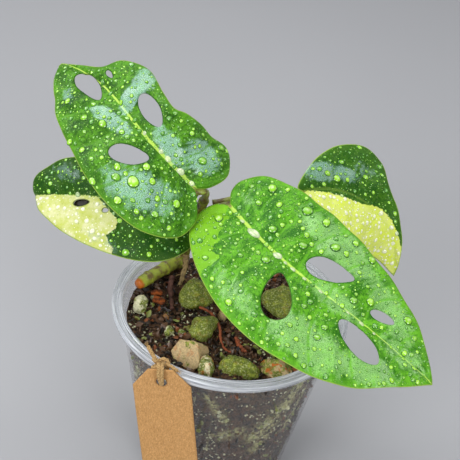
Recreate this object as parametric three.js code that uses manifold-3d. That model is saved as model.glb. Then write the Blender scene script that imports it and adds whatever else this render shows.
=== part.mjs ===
// A young variegated swiss cheese vine in a clear nursery pot, with a card tag tied to the rim.
// Millimetres, +Z up. The origin is the centre of the pot's base, and the front faces -Y.
import * as THREE from "three";
import { mergeVertices } from "three/addons/utils/BufferGeometryUtils.js";
import Module from "manifold-3d";

const wasm = await Module();
wasm.setup();

// Pot
const POT_HEIGHT = 80;
const RIM_RADIUS = 45;
const MOUTH_RADIUS = 40.8;
const FOOT_RADIUS = 29;
const WALL = 0.9;
const RIM_THICKNESS = 1.2;
const SKIRT_DEPTH = 2.6;
const DRAIN_RADIUS = 3;
const DRAIN_CIRCLE = 20;
const DRAIN_COUNT = 6;
const DRAIN_HEIGHT = 4;
const FLOOR = 1.2;
const TIE_HOLE = { at: [-21.2, -37.1], radius: 1.1, height: 6 };
const POT_SIDES = 48;
const HOLE_SIDES = 12;

// Potting mix
const FIT = 0.4;
const SOIL_EDGE_GAP = 0.6;
const SOIL_LEVEL = 73.6;
const SOIL_ROUGHNESS = 0.9;
const SOIL_RINGS = 7;
const SOIL_SIDES = 32;

// Leaves. A blade's own plane runs along the midrib in x and across it in y, +y on its left.
// Angles are in degrees: bend, turn and twist are the change from base to tip, fold and cup bend
// each half along its width, and sway swings the midrib into a slight S.
const BLADE_THICKNESS = 0.8;
const HALF_WIDTH = 30;
const RIBS = 18;
const COLUMNS = 4;
const LEAVES = [
  {
    name: "leaf_1",
    base: [-18.2, 2, 128.2],
    length: 79,
    heading: 159,
    turn: -30,
    sway: 12,
    pitch: 43,
    bend: -55,
    roll: -35,
    twist: 0,
    fold: [8, 12],
    cup: [-18, -60],
    left: [[-5, 4], [-8, 9.5], [-7, 17.5], [1, 24], [13, 26.5], [33, 24.5], [55, 21], [68, 14.5],
      [73.5, 10], [76.8, 6]],
    right: [[-4, -5], [-5.5, -14], [0.5, -22.3], [10, -20], [22, -17.2], [27.5, -14.2], [36, -15.2],
      [47.5, -16.3], [55, -12], [60, -5.5], [69, -1.8]],
    holes: [
      { at: [58, 3.6], long: 8.8, wide: 3.5, turn: -6, egg: 0.18 },
      { at: [54.4, -4.5], long: 1.9, wide: 0.9, turn: -7, egg: 0.18 },
      { at: [31.8, -7.2], long: 7.3, wide: 3.3, turn: -9, egg: 0.18 },
      { at: [23.9, 9], long: 6.8, wide: 3.3, turn: 41, egg: 0.18 },
    ],
  },
  {
    name: "leaf_2",
    base: [-5.2, 4, 121.7],
    length: 96,
    heading: -46,
    turn: 31,
    sway: -5,
    pitch: -9,
    bend: -20,
    roll: 18,
    twist: 0,
    fold: [8, 8],
    cup: [-18, -18],
    left: [[-5.5, 4.5], [-7, 10.5], [-1.5, 18.8], [13, 25], [30.5, 27], [55, 24.3], [70, 18.3], [86, 9]],
    right: [[-3.7, -5], [-3, -12], [4, -19.8], [19.5, -27], [38, -31], [57, -29], [74, -22.3], [87, -10]],
    holes: [
      { at: [36.9, -12.7], long: 9, wide: 4.6, turn: -61, egg: 0.3 },
      { at: [44.7, 8], long: 9.1, wide: 4, turn: 21, egg: -0.34 },
      { at: [68.5, 6.2], long: 4.5, wide: 1.9, turn: 12, egg: -0.11 },
      { at: [66.8, -7.5], long: 9.6, wide: 4.4, turn: -13, egg: 0.03 },
    ],
  },
  {
    name: "leaf_3",
    base: [-22, 12, 112.7],
    length: 65,
    heading: 179,
    turn: -29,
    sway: 0,
    pitch: 2,
    bend: -30,
    roll: -40,
    twist: -5,
    fold: [8, 8],
    cup: [-18, -18],
    left: [[-4, 4], [-6.5, 10], [-4.3, 15.8], [3, 21], [13, 22.6], [28.5, 20.5], [45, 15], [57, 8],
      [62.5, 3]],
    right: [[-4, -4.5], [-5, -10], [2, -13.5], [16, -13.8], [30, -12.5], [38, -14], [48.5, -15.6], [58, -13],
      [65.5, -7.5], [66.8, -3]],
    holes: [
      { at: [39.9, 2.9], long: 3.2, wide: 1.4, turn: 9, egg: 0.18 },
      { at: [29, 5.2], long: 1.2, wide: 0.9, turn: 0, egg: 0.18 },
    ],
  },
  {
    name: "leaf_4",
    base: [22.7, 36, 111.6],
    length: 68,
    heading: 44,
    turn: -94,
    sway: -8,
    pitch: 3,
    bend: -85,
    roll: 38,
    twist: 0,
    fold: [8, 8],
    cup: [-18, -18],
    left: [[-2.5, 2.2], [2, 6.5], [9.5, 14], [16, 19], [24, 22.2], [31, 20.2], [35, 13.5], [42, 8.2],
      [54, 4]],
    right: [[-4, -4.5], [-5, -11], [1.5, -18], [12, -21.5], [26, -22], [40, -18], [52, -12.5], [62, -5.3]],
    holes: [],
  },
];

// Stems
const PETIOLE_RADIUS = 1.3;
const BLADE_GAP = 0.35;
const STEM_RADIUS = 2;
const CUTTING_RADIUS = 2.5;
const STEM_POCKET = 0.9;
const RING_SWELL = 0.35;
const RING_HALF_LENGTH = 0.9;
const CUTTING_RINGS = [0.22, 0.52, 0.82];
const SHOOT_RINGS = [0.45, 0.8];
const CUTTING = [[-36.4, 6.6, 78.2], [-32.5, 12.5, 78.3], [-28, 19, 78], [-24.2, 24.6, 77.2],
  [-22, 28, 75.5]];
const SHOOT = [[-21.2, 28, 75], [-20.2, 27, 86], [-18.8, 23, 98], [-16.6, 18, 108.5],
  [-15, 14.6, 115.4]];
const PETIOLES = [
  { name: "petiole_1", from: [-14.9, 14.4, 115.9], by: [[-14.3, 9, 122.3], [-15.3, 4.4, 126]], leaf: 0 },
  { name: "petiole_2", from: [-12.9, 15.2, 110.3], by: [[-8.6, 12.4, 115.2], [-6, 8.4, 119]], leaf: 1 },
  { name: "petiole_3", from: [-23.3, 22.6, 93], by: [[-23.8, 19.6, 103], [-21.8, 15.6, 110]], leaf: 2 },
  { name: "petiole_4", from: [-11.6, 17.6, 112.6], by: [[-5.4, 20, 113.7], [8, 28, 114.4]], leaf: 3 },
];

// Roots on the mix
const ROOT_SINK = 2.5;
const ROOTS = [
  {
    name: "root_1",
    radius: 1.1,
    path: [[-19.8, 22.6, 83.6], [-19.6, 20, 81.2], [-20.1, 17, 78], [-20.8, 13.6, 75.2]],
  },
  {
    name: "root_2",
    radius: 0.9,
    path: [[-24.2, 18, 75.2], [-24.4, 13.5, 74.4], [-23.6, 8.6], [-22, 1.6]],
  },
  {
    name: "root_3",
    radius: 0.6,
    path: [[-11.6, 0.4], [-7, -3.6], [-3.4, -9], [-2.8, -13.2], [-0.6, -17.3], [2.6, -19.6]],
  },
  {
    name: "root_4",
    radius: 0.6,
    path: [[3.4, -11.5], [5.2, -15.5], [7.4, -19.6]],
  },
];

// Stones and bark chips: centre and half sizes
const STONES = [
  { name: "stone_1", at: [-34.2, -0.6, 74.6], size: [3.5, 3.3, 2.9], colour: 0xe8dfc4, seed: 1 },
  { name: "stone_2", at: [-13.6, 8.3, 75.8], size: [6.4, 8, 6.6], colour: 0x7f8f3c, seed: 2 },
  { name: "stone_3", at: [-9.4, -11, 74.8], size: [5.2, 7.6, 5.8], colour: 0x76873a, seed: 3 },
  { name: "stone_4", at: [-13.4, -23.6, 74.6], size: [6.6, 5.4, 4.8], colour: 0xcdb48d, seed: 4 },
  { name: "stone_5", at: [-5.8, -30.6, 74], size: [3.6, 4.2, 4.5], colour: 0xb9b46a, seed: 5 },
  { name: "stone_6", at: [5.5, -28.2, 73.8], size: [7.4, 6.3, 4.8], colour: 0x6f8433, seed: 6 },
  { name: "stone_7", at: [19, -26.3, 73.9], size: [5.4, 5, 4.2], colour: 0xb98a4e, seed: 7 },
  { name: "stone_8", at: [-2.6, 0, 74], size: [2.2, 2.4, 2.2], colour: 0xc9a58c, seed: 8 },
  { name: "stone_9", at: [-21.4, -12.9, 73.8], size: [1.8, 1.8, 1.7], colour: 0x8d9a4a, seed: 9 },
  { name: "stone_10", at: [-16.7, -13, 73.8], size: [1.4, 1.4, 1.4], colour: 0x8d9a4a, seed: 10 },
  { name: "stone_11", at: [18.6, 10.2, 75.6], size: [6.9, 8.2, 6.5], colour: 0x8a8a3f, seed: 11 },
];
const CHIPS = [
  { name: "bark_chip_1", at: [-27.6, 2.3, 75.4], size: [5, 2.8, 1.8], turn: -25, tilt: 12 },
  { name: "bark_chip_2", at: [-29, 6.4, 75.6], size: [4.6, 2.2, 1.6], turn: 15, tilt: -8 },
];

// Tag and twine
const TAG = { width: 20.6, height: 46, thickness: 0.7, top: 8.8, clip: 7.2, hole: 1.9, holeDrop: 5.4 };
const TAG_HOLE = [-20.6, -43.7, 77.3];
const TAG_FACING = -4;
const TAG_LEAN = 2;
const TAG_HANG = -9;
const TWINE_RADIUS = 0.55;
const KNOT_RADIUS = 1.5;
const KNOT = [-21.9, -39.7, 81.7];

const radians = THREE.MathUtils.degToRad;
const vector = (list) => new THREE.Vector3(...list);

function paint(colour, roughness, metalness = 0) {
  return new THREE.MeshStandardMaterial({ color: colour, roughness, metalness });
}

const COLOURS = {
  pot: new THREE.MeshStandardMaterial({ color: 0xdfe6e6, roughness: 0.15, transparent: true, opacity: 0.35 }),
  mix: paint(0x2b211b, 0.95),
  blade: paint(0x3f8f26, 0.35),
  petiole: paint(0xa7b545, 0.5),
  stem: paint(0x7d9a35, 0.55),
  root: paint(0x6b4a39, 0.85),
  bark: paint(0x8a5330, 0.9),
  tag: paint(0xc79a66, 0.85),
  twine: paint(0xb98f5c, 0.95),
};

function toSolid(geometry) {
  const bare = geometry.clone();
  bare.deleteAttribute("normal");
  bare.deleteAttribute("uv");
  const merged = mergeVertices(bare, 1e-4);
  const triVerts = new Uint32Array(merged.index.array);
  return new wasm.Manifold(
    new wasm.Mesh({ numProp: 3, vertProperties: merged.attributes.position.array, triVerts }),
  );
}

function toGeometry(solid) {
  const mesh = solid.getMesh();
  const geometry = new THREE.BufferGeometry();
  geometry.setAttribute("position", new THREE.Float32BufferAttribute(mesh.vertProperties, 3));
  geometry.setIndex(Array.from(mesh.triVerts));
  geometry.computeVertexNormals();
  return geometry;
}

function cutAll(geometry, cutters) {
  const cut = cutters.reduce((left, tool) => left.subtract(toSolid(tool)), toSolid(geometry));
  return toGeometry(cut);
}

function joinAll(geometries) {
  const joined = geometries.slice(1).reduce((sum, one) => sum.add(toSolid(one)), toSolid(geometries[0]));
  return toGeometry(joined);
}

// A closed surface from triangles given as corner points; triangles with no area are left out.
function fromTriangles(triangles) {
  const corners = [];
  for (const [a, b, c] of triangles) {
    const flat = a.distanceTo(b) < 1e-4 || b.distanceTo(c) < 1e-4 || c.distanceTo(a) < 1e-4;
    if (!flat) corners.push(...a.toArray(), ...b.toArray(), ...c.toArray());
  }
  const geometry = new THREE.BufferGeometry();
  geometry.setAttribute("position", new THREE.Float32BufferAttribute(corners, 3));
  geometry.computeVertexNormals();
  return geometry;
}

function tube(path, radius, steps, sides) {
  const corners = [];
  for (let i = 0; i < sides; i += 1) {
    const angle = (2 * Math.PI * i) / sides;
    corners.push(new THREE.Vector2(radius * Math.cos(angle), radius * Math.sin(angle)));
  }
  const curve = new THREE.CatmullRomCurve3(path.map(vector));
  return new THREE.ExtrudeGeometry(new THREE.Shape(corners), { steps, extrudePath: curve });
}

// Pot

function mouthRadiusAt(z) {
  const foot = FOOT_RADIUS - WALL;
  return foot + ((MOUTH_RADIUS - foot) * (z - WALL)) / (POT_HEIGHT - WALL);
}

function potGeometry() {
  const flange = POT_HEIGHT - RIM_THICKNESS;
  const skirt = POT_HEIGHT - SKIRT_DEPTH;
  const profile = [
    [0, 0],
    [FOOT_RADIUS - 1, 0],
    [FOOT_RADIUS, 1],
    [MOUTH_RADIUS + WALL, flange],
    [RIM_RADIUS - 1, flange],
    [RIM_RADIUS - 1, skirt],
    [RIM_RADIUS - 0.2, skirt],
    [RIM_RADIUS, POT_HEIGHT - 0.8],
    [RIM_RADIUS - 0.6, POT_HEIGHT],
    [MOUTH_RADIUS + 0.3, POT_HEIGHT],
    [MOUTH_RADIUS, POT_HEIGHT - 0.4],
    [FOOT_RADIUS - WALL, FLOOR],
    [0, FLOOR],
  ];
  const body = new THREE.LatheGeometry(profile.map((point) => new THREE.Vector2(...point)), POT_SIDES);
  body.rotateX(Math.PI / 2);
  const cutters = [uprightCylinder(...TIE_HOLE.at, POT_HEIGHT, TIE_HOLE.radius, TIE_HOLE.height)];
  for (let i = 0; i < DRAIN_COUNT; i += 1) {
    const angle = (2 * Math.PI * i) / DRAIN_COUNT;
    const [x, y] = [DRAIN_CIRCLE * Math.cos(angle), DRAIN_CIRCLE * Math.sin(angle)];
    cutters.push(uprightCylinder(x, y, FLOOR / 2, DRAIN_RADIUS, DRAIN_HEIGHT));
  }
  return cutAll(body, cutters);
}

function uprightCylinder(x, y, z, radius, height) {
  const cylinder = new THREE.CylinderGeometry(radius, radius, height, HOLE_SIDES);
  cylinder.rotateX(Math.PI / 2);
  cylinder.translate(x, y, z);
  return cylinder;
}

// Potting mix

function soilHeight(x, y) {
  const waves = Math.sin(0.23 * x + 0.9) * Math.cos(0.19 * y - 0.4) + 0.6 * Math.sin(0.37 * (x + y));
  const hollow = 2.2 * Math.exp(-((x + 27) ** 2 + (y - 4) ** 2) / 160);
  return SOIL_LEVEL + SOIL_ROUGHNESS * waves - hollow;
}

function soilPoint(ring, side) {
  const angle = (2 * Math.PI * side) / SOIL_SIDES;
  const edge = mouthRadiusAt(SOIL_LEVEL) - SOIL_EDGE_GAP;
  const radius = (edge * ring) / SOIL_RINGS;
  const x = radius * Math.cos(angle);
  const y = radius * Math.sin(angle);
  const z = ring === SOIL_RINGS ? SOIL_LEVEL : soilHeight(x, y);
  return new THREE.Vector3(x, y, z);
}

function soilGeometry(cutters) {
  const triangles = [];
  const bottom = FLOOR + FIT;
  const foot = mouthRadiusAt(bottom) - SOIL_EDGE_GAP;
  const low = (side) => {
    const angle = (2 * Math.PI * side) / SOIL_SIDES;
    return new THREE.Vector3(foot * Math.cos(angle), foot * Math.sin(angle), bottom);
  };
  const middle = new THREE.Vector3(0, 0, bottom);
  for (let i = 0; i < SOIL_SIDES; i += 1) {
    const next = (i + 1) % SOIL_SIDES;
    for (let ring = 0; ring < SOIL_RINGS; ring += 1) {
      const [a, b] = [soilPoint(ring, i), soilPoint(ring + 1, i)];
      const [c, d] = [soilPoint(ring + 1, next), soilPoint(ring, next)];
      triangles.push([a, b, c], [a, c, d]);
    }
    const [p, q] = [soilPoint(SOIL_RINGS, i), soilPoint(SOIL_RINGS, next)];
    triangles.push([p, low(i), low(next)], [p, low(next), q]);
    triangles.push([middle, low(next), low(i)]);
  }
  return cutAll(fromTriangles(triangles), cutters);
}

function stoneGeometry(stone, grow = 0) {
  const geometry = new THREE.IcosahedronGeometry(1, stone.size[0] > 3 ? 2 : 1);
  const position = geometry.attributes.position;
  const point = new THREE.Vector3();
  for (let i = 0; i < position.count; i += 1) {
    point.fromBufferAttribute(position, i).normalize();
    const { x, y, z } = point;
    const k = stone.seed * 1.7;
    const lump = 0.1 * Math.sin(3 * x + k) + 0.08 * Math.sin(4 * y - k) + 0.06 * Math.cos(5 * z + 2 * k);
    point.multiplyScalar(0.9 + lump);
    const [sx, sy, sz] = stone.size;
    position.setXYZ(i, point.x * sx + x * grow, point.y * sy + y * grow, point.z * sz + z * grow);
  }
  geometry.translate(...stone.at);
  return geometry;
}

function chipGeometry(chip, grow = 0) {
  const [length, width, height] = chip.size.map((size) => size + 2 * grow);
  const slab = new THREE.BoxGeometry(length, width, height, 2, 1, 1);
  const position = slab.attributes.position;
  for (let i = 0; i < position.count; i += 1) {
    const narrow = 1 - 0.35 * Math.abs(position.getX(i) / length + 0.1);
    position.setY(i, position.getY(i) * narrow);
  }
  slab.rotateY(radians(chip.tilt));
  slab.rotateZ(radians(chip.turn));
  slab.translate(...chip.at);
  return slab;
}

// Roots lie on the mix, and their ends go down into it.
function rootPath(root, deeper) {
  const last = root.path.length - 1;
  const lift = root.radius * 0.6;
  const laid = root.path.map(([x, y, z]) => [x, y, z ?? soilHeight(x, y) + lift]);
  const [x0, y0] = root.path[0];
  const [x1, y1] = root.path[last];
  const start = [x0 + 0.2 * (x0 - root.path[1][0]), y0 + 0.2 * (y0 - root.path[1][1])];
  const end = [x1 + 0.25 * (x1 - root.path[last - 1][0]), y1 + 0.25 * (y1 - root.path[last - 1][1])];
  const sink = ROOT_SINK + deeper;
  const first = [...start, (root.path[0][2] ?? soilHeight(...start)) - sink];
  const final = [...end, soilHeight(...end) - sink];
  return [first, ...laid, final];
}

function rootGeometry(root, grow = 0) {
  return tube(rootPath(root, grow), root.radius + grow, 3 * root.path.length, 6);
}

// Blades

function midribFrames(leaf) {
  const steps = 60;
  const frames = [];
  const here = vector(leaf.base);
  let before = null;
  for (let i = 0; i <= steps; i += 1) {
    const along = i / steps;
    const tangent = headingAt(leaf, along).tangent;
    if (before) here.addScaledVector(before.clone().add(tangent), leaf.length / steps / 2);
    frames.push(here.clone());
    before = tangent;
  }
  return frames;
}

function headingAt(leaf, along) {
  const pitch = radians(leaf.pitch + leaf.bend * along);
  const sway = leaf.sway * Math.cos(2 * Math.PI * along);
  const heading = radians(leaf.heading + leaf.turn * along + sway);
  const roll = radians(leaf.roll + leaf.twist * along);
  const tangent = new THREE.Vector3(
    Math.cos(pitch) * Math.cos(heading),
    Math.cos(pitch) * Math.sin(heading),
    Math.sin(pitch),
  );
  const level = new THREE.Vector3(-Math.sin(heading), Math.cos(heading), 0);
  const above = tangent.clone().cross(level);
  const side = level.clone().multiplyScalar(Math.cos(roll)).addScaledVector(above, Math.sin(roll));
  const normal = above.multiplyScalar(Math.cos(roll)).addScaledVector(level, -Math.sin(roll));
  return { tangent, side, normal };
}

// The point of a blade at x along the midrib and y across it, lifted off its middle surface.
function bladePoint(leaf, x, y, lift) {
  const frames = leaf.frames;
  const along = THREE.MathUtils.clamp(x / leaf.length, 0, 1);
  const step = along * (frames.length - 1);
  const low = Math.min(Math.floor(step), frames.length - 2);
  const { tangent, side, normal } = headingAt(leaf, along);
  const point = frames[low].clone().lerp(frames[low + 1], step - low);
  point.addScaledVector(tangent, Math.min(x, 0) + Math.max(x - leaf.length, 0));
  const half = y > 0 ? 0 : 1;
  const fold = radians(leaf.fold[half]);
  const curve = radians(leaf.cup[half]) / HALF_WIDTH;
  const reach = Math.abs(y);
  const across = (Math.sin(fold + curve * reach) - Math.sin(fold)) / curve;
  const up = (Math.cos(fold) - Math.cos(fold + curve * reach)) / curve;
  const slope = y === 0 ? 0 : Math.sign(y) * (fold + curve * reach);
  point.addScaledVector(side, Math.sign(y) * across);
  point.addScaledVector(normal, up);
  point.addScaledVector(normal, lift * Math.cos(slope));
  return point.addScaledVector(side, -lift * Math.sin(slope));
}

function bladeGrid(leaf, sign) {
  const list = sign > 0 ? leaf.left : leaf.right;
  const outline = new THREE.SplineCurve(
    [[0, 0], ...list, [leaf.length, 0]].map((point) => new THREE.Vector2(...point)),
  );
  const rows = [];
  for (let i = 0; i <= RIBS; i += 1) {
    const along = i / RIBS;
    const edge = outline.getPointAt(along);
    const root = leaf.length * along ** 1.5;
    const row = [];
    for (let j = 0; j <= COLUMNS; j += 1) {
      const out = j / COLUMNS;
      const x = i === RIBS ? leaf.length : root + (edge.x - root) * out;
      const y = i === RIBS || j === 0 ? 0 : edge.y * out;
      row.push([x, y]);
    }
    rows.push(row);
  }
  return rows;
}

function bladeGeometry(leaf) {
  const triangles = [];
  const half = BLADE_THICKNESS / 2;
  for (const sign of [1, -1]) {
    const rows = bladeGrid(leaf, sign);
    const upper = rows.map((row) => row.map(([x, y]) => bladePoint(leaf, x, y, half)));
    const lower = rows.map((row) => row.map(([x, y]) => bladePoint(leaf, x, y, -half)));
    const add = (a, b, c) => triangles.push(sign > 0 ? [a, b, c] : [a, c, b]);
    for (let i = 0; i < RIBS; i += 1) {
      for (let j = 0; j < COLUMNS; j += 1) {
        add(upper[i][j], upper[i + 1][j], upper[i + 1][j + 1]);
        add(upper[i][j], upper[i + 1][j + 1], upper[i][j + 1]);
        add(lower[i][j], lower[i + 1][j + 1], lower[i + 1][j]);
        add(lower[i][j], lower[i][j + 1], lower[i + 1][j + 1]);
      }
      add(upper[i][COLUMNS], upper[i + 1][COLUMNS], lower[i + 1][COLUMNS]);
      add(upper[i][COLUMNS], lower[i + 1][COLUMNS], lower[i][COLUMNS]);
    }
  }
  const blade = fromTriangles(triangles);
  return cutAll(blade, leaf.holes.map((hole) => holeCutter(leaf, hole)));
}

function holeCutter(leaf, hole) {
  const sides = 18;
  const turn = radians(hole.turn);
  const reach = 3;
  const triangles = [];
  const ring = [];
  for (let i = 0; i < sides; i += 1) {
    const angle = (2 * Math.PI * i) / sides;
    const x = hole.long * Math.cos(angle);
    const y = hole.wide * Math.sin(angle) * (1 + hole.egg * Math.cos(angle));
    ring.push([
      hole.at[0] + x * Math.cos(turn) - y * Math.sin(turn),
      hole.at[1] + x * Math.sin(turn) + y * Math.cos(turn),
    ]);
  }
  const [top, bottom] = [reach, -reach].map((lift) => ring.map(([x, y]) => bladePoint(leaf, x, y, lift)));
  const [over, under] = [reach, -reach].map((lift) => bladePoint(leaf, ...hole.at, lift));
  for (let i = 0; i < sides; i += 1) {
    const next = (i + 1) % sides;
    triangles.push([over, top[i], top[next]], [under, bottom[next], bottom[i]]);
    triangles.push([top[i], bottom[i], bottom[next]], [top[i], bottom[next], top[next]]);
  }
  return fromTriangles(triangles);
}

// Stems and petioles

function petiolePath(petiole) {
  const leaf = LEAVES[petiole.leaf];
  const { tangent, normal } = headingAt(leaf, 0);
  const drop = BLADE_THICKNESS / 2 + BLADE_GAP + PETIOLE_RADIUS;
  const end = vector(leaf.base).addScaledVector(normal, -drop).addScaledVector(tangent, -1);
  return [petiole.from, ...petiole.by, end.toArray()];
}

function petioleGeometry(petiole) {
  return tube(petiolePath(petiole), PETIOLE_RADIUS, 12, 8);
}

function stemGeometry() {
  const old = tube(CUTTING, CUTTING_RADIUS, 8, 10);
  const shoot = tube(SHOOT, STEM_RADIUS, 12, 8);
  const rings = CUTTING_RINGS.map((along) => nodeRing(CUTTING, along, CUTTING_RADIUS + RING_SWELL));
  const joints = SHOOT_RINGS.map((along) => nodeRing(SHOOT, along, STEM_RADIUS + RING_SWELL));
  return joinAll([old, shoot, ...rings, ...joints]);
}

// A low swollen ring round a stem, where a leaf once stood.
function nodeRing(path, along, radius) {
  const curve = new THREE.CatmullRomCurve3(path.map(vector));
  const ring = new THREE.SphereGeometry(1, 8, 4);
  ring.scale(radius, RING_HALF_LENGTH, radius);
  ring.applyQuaternion(
    new THREE.Quaternion().setFromUnitVectors(new THREE.Vector3(0, 1, 0), curve.getTangentAt(along)),
  );
  const at = curve.getPointAt(along);
  ring.translate(at.x, at.y, at.z);
  return ring;
}

// Tag and twine

function tagGeometry() {
  const half = TAG.width / 2;
  const outline = [
    [-half, 0],
    [half, 0],
    [half, TAG.height - TAG.clip],
    [TAG.top / 2, TAG.height],
    [-TAG.top / 2, TAG.height],
    [-half, TAG.height - TAG.clip],
  ];
  const shape = new THREE.Shape(outline.map((point) => new THREE.Vector2(...point)));
  const hole = new THREE.Path();
  hole.absarc(0, TAG.height - TAG.holeDrop, TAG.hole, 0, 2 * Math.PI, true);
  shape.holes.push(hole);
  const settings = { depth: TAG.thickness, bevelEnabled: false, curveSegments: 10 };
  const card = new THREE.ExtrudeGeometry(shape, settings);
  card.translate(0, -(TAG.height - TAG.holeDrop), -TAG.thickness / 2);
  card.rotateZ(radians(-TAG_HANG));
  card.rotateX(Math.PI / 2 - radians(TAG_LEAN));
  card.rotateZ(radians(TAG_FACING));
  return card;
}

function twineGeometry() {
  const [hx, hy, hz] = TAG_HOLE;
  const [kx, ky, kz] = KNOT;
  const front = (shift) => [
    [kx + shift, ky, kz],
    [kx + 0.3 + shift, ky - 2.3, kz + 2],
    [hx - 0.8 + shift, hy - 0.4, hz + 6.8],
    [hx - 0.6 + shift, hy - 1.6, hz + 4.4],
    [hx + shift * 0.4, hy - 1.5, hz + 1],
    [hx, hy - 0.2, hz - 0.5],
    [hx, hy + 1.2, hz + 0.2],
  ];
  const behind = [
    [hx, hy + 1.1, hz + 0.1],
    [hx - 0.3, hy + 1.6, hz + 2.6],
    [hx - 0.7, hy + 2.2, hz + 4.3],
    [kx, ky, kz],
  ];
  const tie = [
    [kx, ky, kz],
    [TIE_HOLE.at[0], TIE_HOLE.at[1], POT_HEIGHT + 0.9],
    [TIE_HOLE.at[0], TIE_HOLE.at[1], POT_HEIGHT - 3.2],
  ];
  const tails = [
    [[kx, ky, kz], [kx - 2.2, ky + 1.2, kz + 1.6], [kx - 5, ky + 3, kz + 4.8]],
    [[kx, ky, kz], [kx + 3, ky - 0.6, kz + 0.6], [kx + 6.2, ky - 2.4, kz + 0.2]],
  ];
  const knot = new THREE.SphereGeometry(KNOT_RADIUS, 8, 5);
  knot.scale(1.15, 0.9, 0.8);
  knot.translate(kx, ky, kz);
  const strands = [front(-0.5), front(0.6), behind, tie, ...tails];
  return joinAll([knot, ...strands.map((path) => tube(path, TWINE_RADIUS, 8, 5))]);
}

// Assembly

const plant = new THREE.Group();

function place(name, geometry, material, parent = plant) {
  const mesh = new THREE.Mesh(geometry, material);
  mesh.name = name;
  parent.add(mesh);
  return mesh;
}

for (const leaf of LEAVES) leaf.frames = midribFrames(leaf);

// The stem's pockets reach a little past its lower ends.
const pockets = [
  ...STONES.map((stone) => stoneGeometry(stone, FIT)),
  ...CHIPS.map((chip) => chipGeometry(chip, FIT)),
  ...ROOTS.map((root) => rootGeometry(root, FIT)),
  tube([...CUTTING, [-21, 29.4, 74.4]], CUTTING_RADIUS + STEM_POCKET, 8, 10),
  tube([[-21.3, 28.1, 74], ...SHOOT], STEM_RADIUS + STEM_POCKET, 12, 8),
];

place("pot", potGeometry(), COLOURS.pot);
place("potting_mix", soilGeometry(pockets), COLOURS.mix);
place("vine_stem", stemGeometry(), COLOURS.stem);
for (const leaf of LEAVES) place(leaf.name, bladeGeometry(leaf), COLOURS.blade);
for (const petiole of PETIOLES) place(petiole.name, petioleGeometry(petiole), COLOURS.petiole);
for (const root of ROOTS) place(root.name, rootGeometry(root), COLOURS.root);
for (const stone of STONES) place(stone.name, stoneGeometry(stone), paint(stone.colour, 0.9));
for (const chip of CHIPS) place(chip.name, chipGeometry(chip), COLOURS.bark);
place("tag", tagGeometry(), COLOURS.tag).position.set(...TAG_HOLE);
place("tag_twine", twineGeometry(), COLOURS.twine);

export default plant;
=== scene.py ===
"""A variegated swiss cheese vine in a clear nursery pot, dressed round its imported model.

Shapes are worked out in millimetres and written in metres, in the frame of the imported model.
"""
import math

import bmesh
import bpy
import numpy as np
from bpy.props import FloatProperty, FloatVectorProperty, IntProperty, PointerProperty
from mathutils import Matrix, Vector, noise
from mathutils.geometry import delaunay_2d_cdt


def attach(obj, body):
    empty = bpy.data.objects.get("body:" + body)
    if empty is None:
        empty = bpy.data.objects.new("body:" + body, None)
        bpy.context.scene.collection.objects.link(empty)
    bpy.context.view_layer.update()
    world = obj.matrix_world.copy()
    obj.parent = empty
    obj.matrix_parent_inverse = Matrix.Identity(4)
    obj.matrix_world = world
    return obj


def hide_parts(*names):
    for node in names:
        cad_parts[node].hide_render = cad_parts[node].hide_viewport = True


bl_info = {
    "name": "Swiss Cheese Vine in a Nursery Pot",
    "version": (1, 0, 0),
    "blender": (4, 5, 0),
    "location": "3D View > Sidebar > Vine",
    "description": "Builds a potted variegated vine with wet leaves, stones, a clear pot and a card tag",
    "category": "Add Mesh",
}

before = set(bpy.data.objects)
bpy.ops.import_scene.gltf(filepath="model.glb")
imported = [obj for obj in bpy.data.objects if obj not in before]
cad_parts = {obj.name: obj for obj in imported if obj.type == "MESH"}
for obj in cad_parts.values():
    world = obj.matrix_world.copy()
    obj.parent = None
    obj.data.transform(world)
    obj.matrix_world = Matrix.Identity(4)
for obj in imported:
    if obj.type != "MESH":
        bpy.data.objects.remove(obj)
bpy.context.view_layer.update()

MM = 0.001

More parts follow.
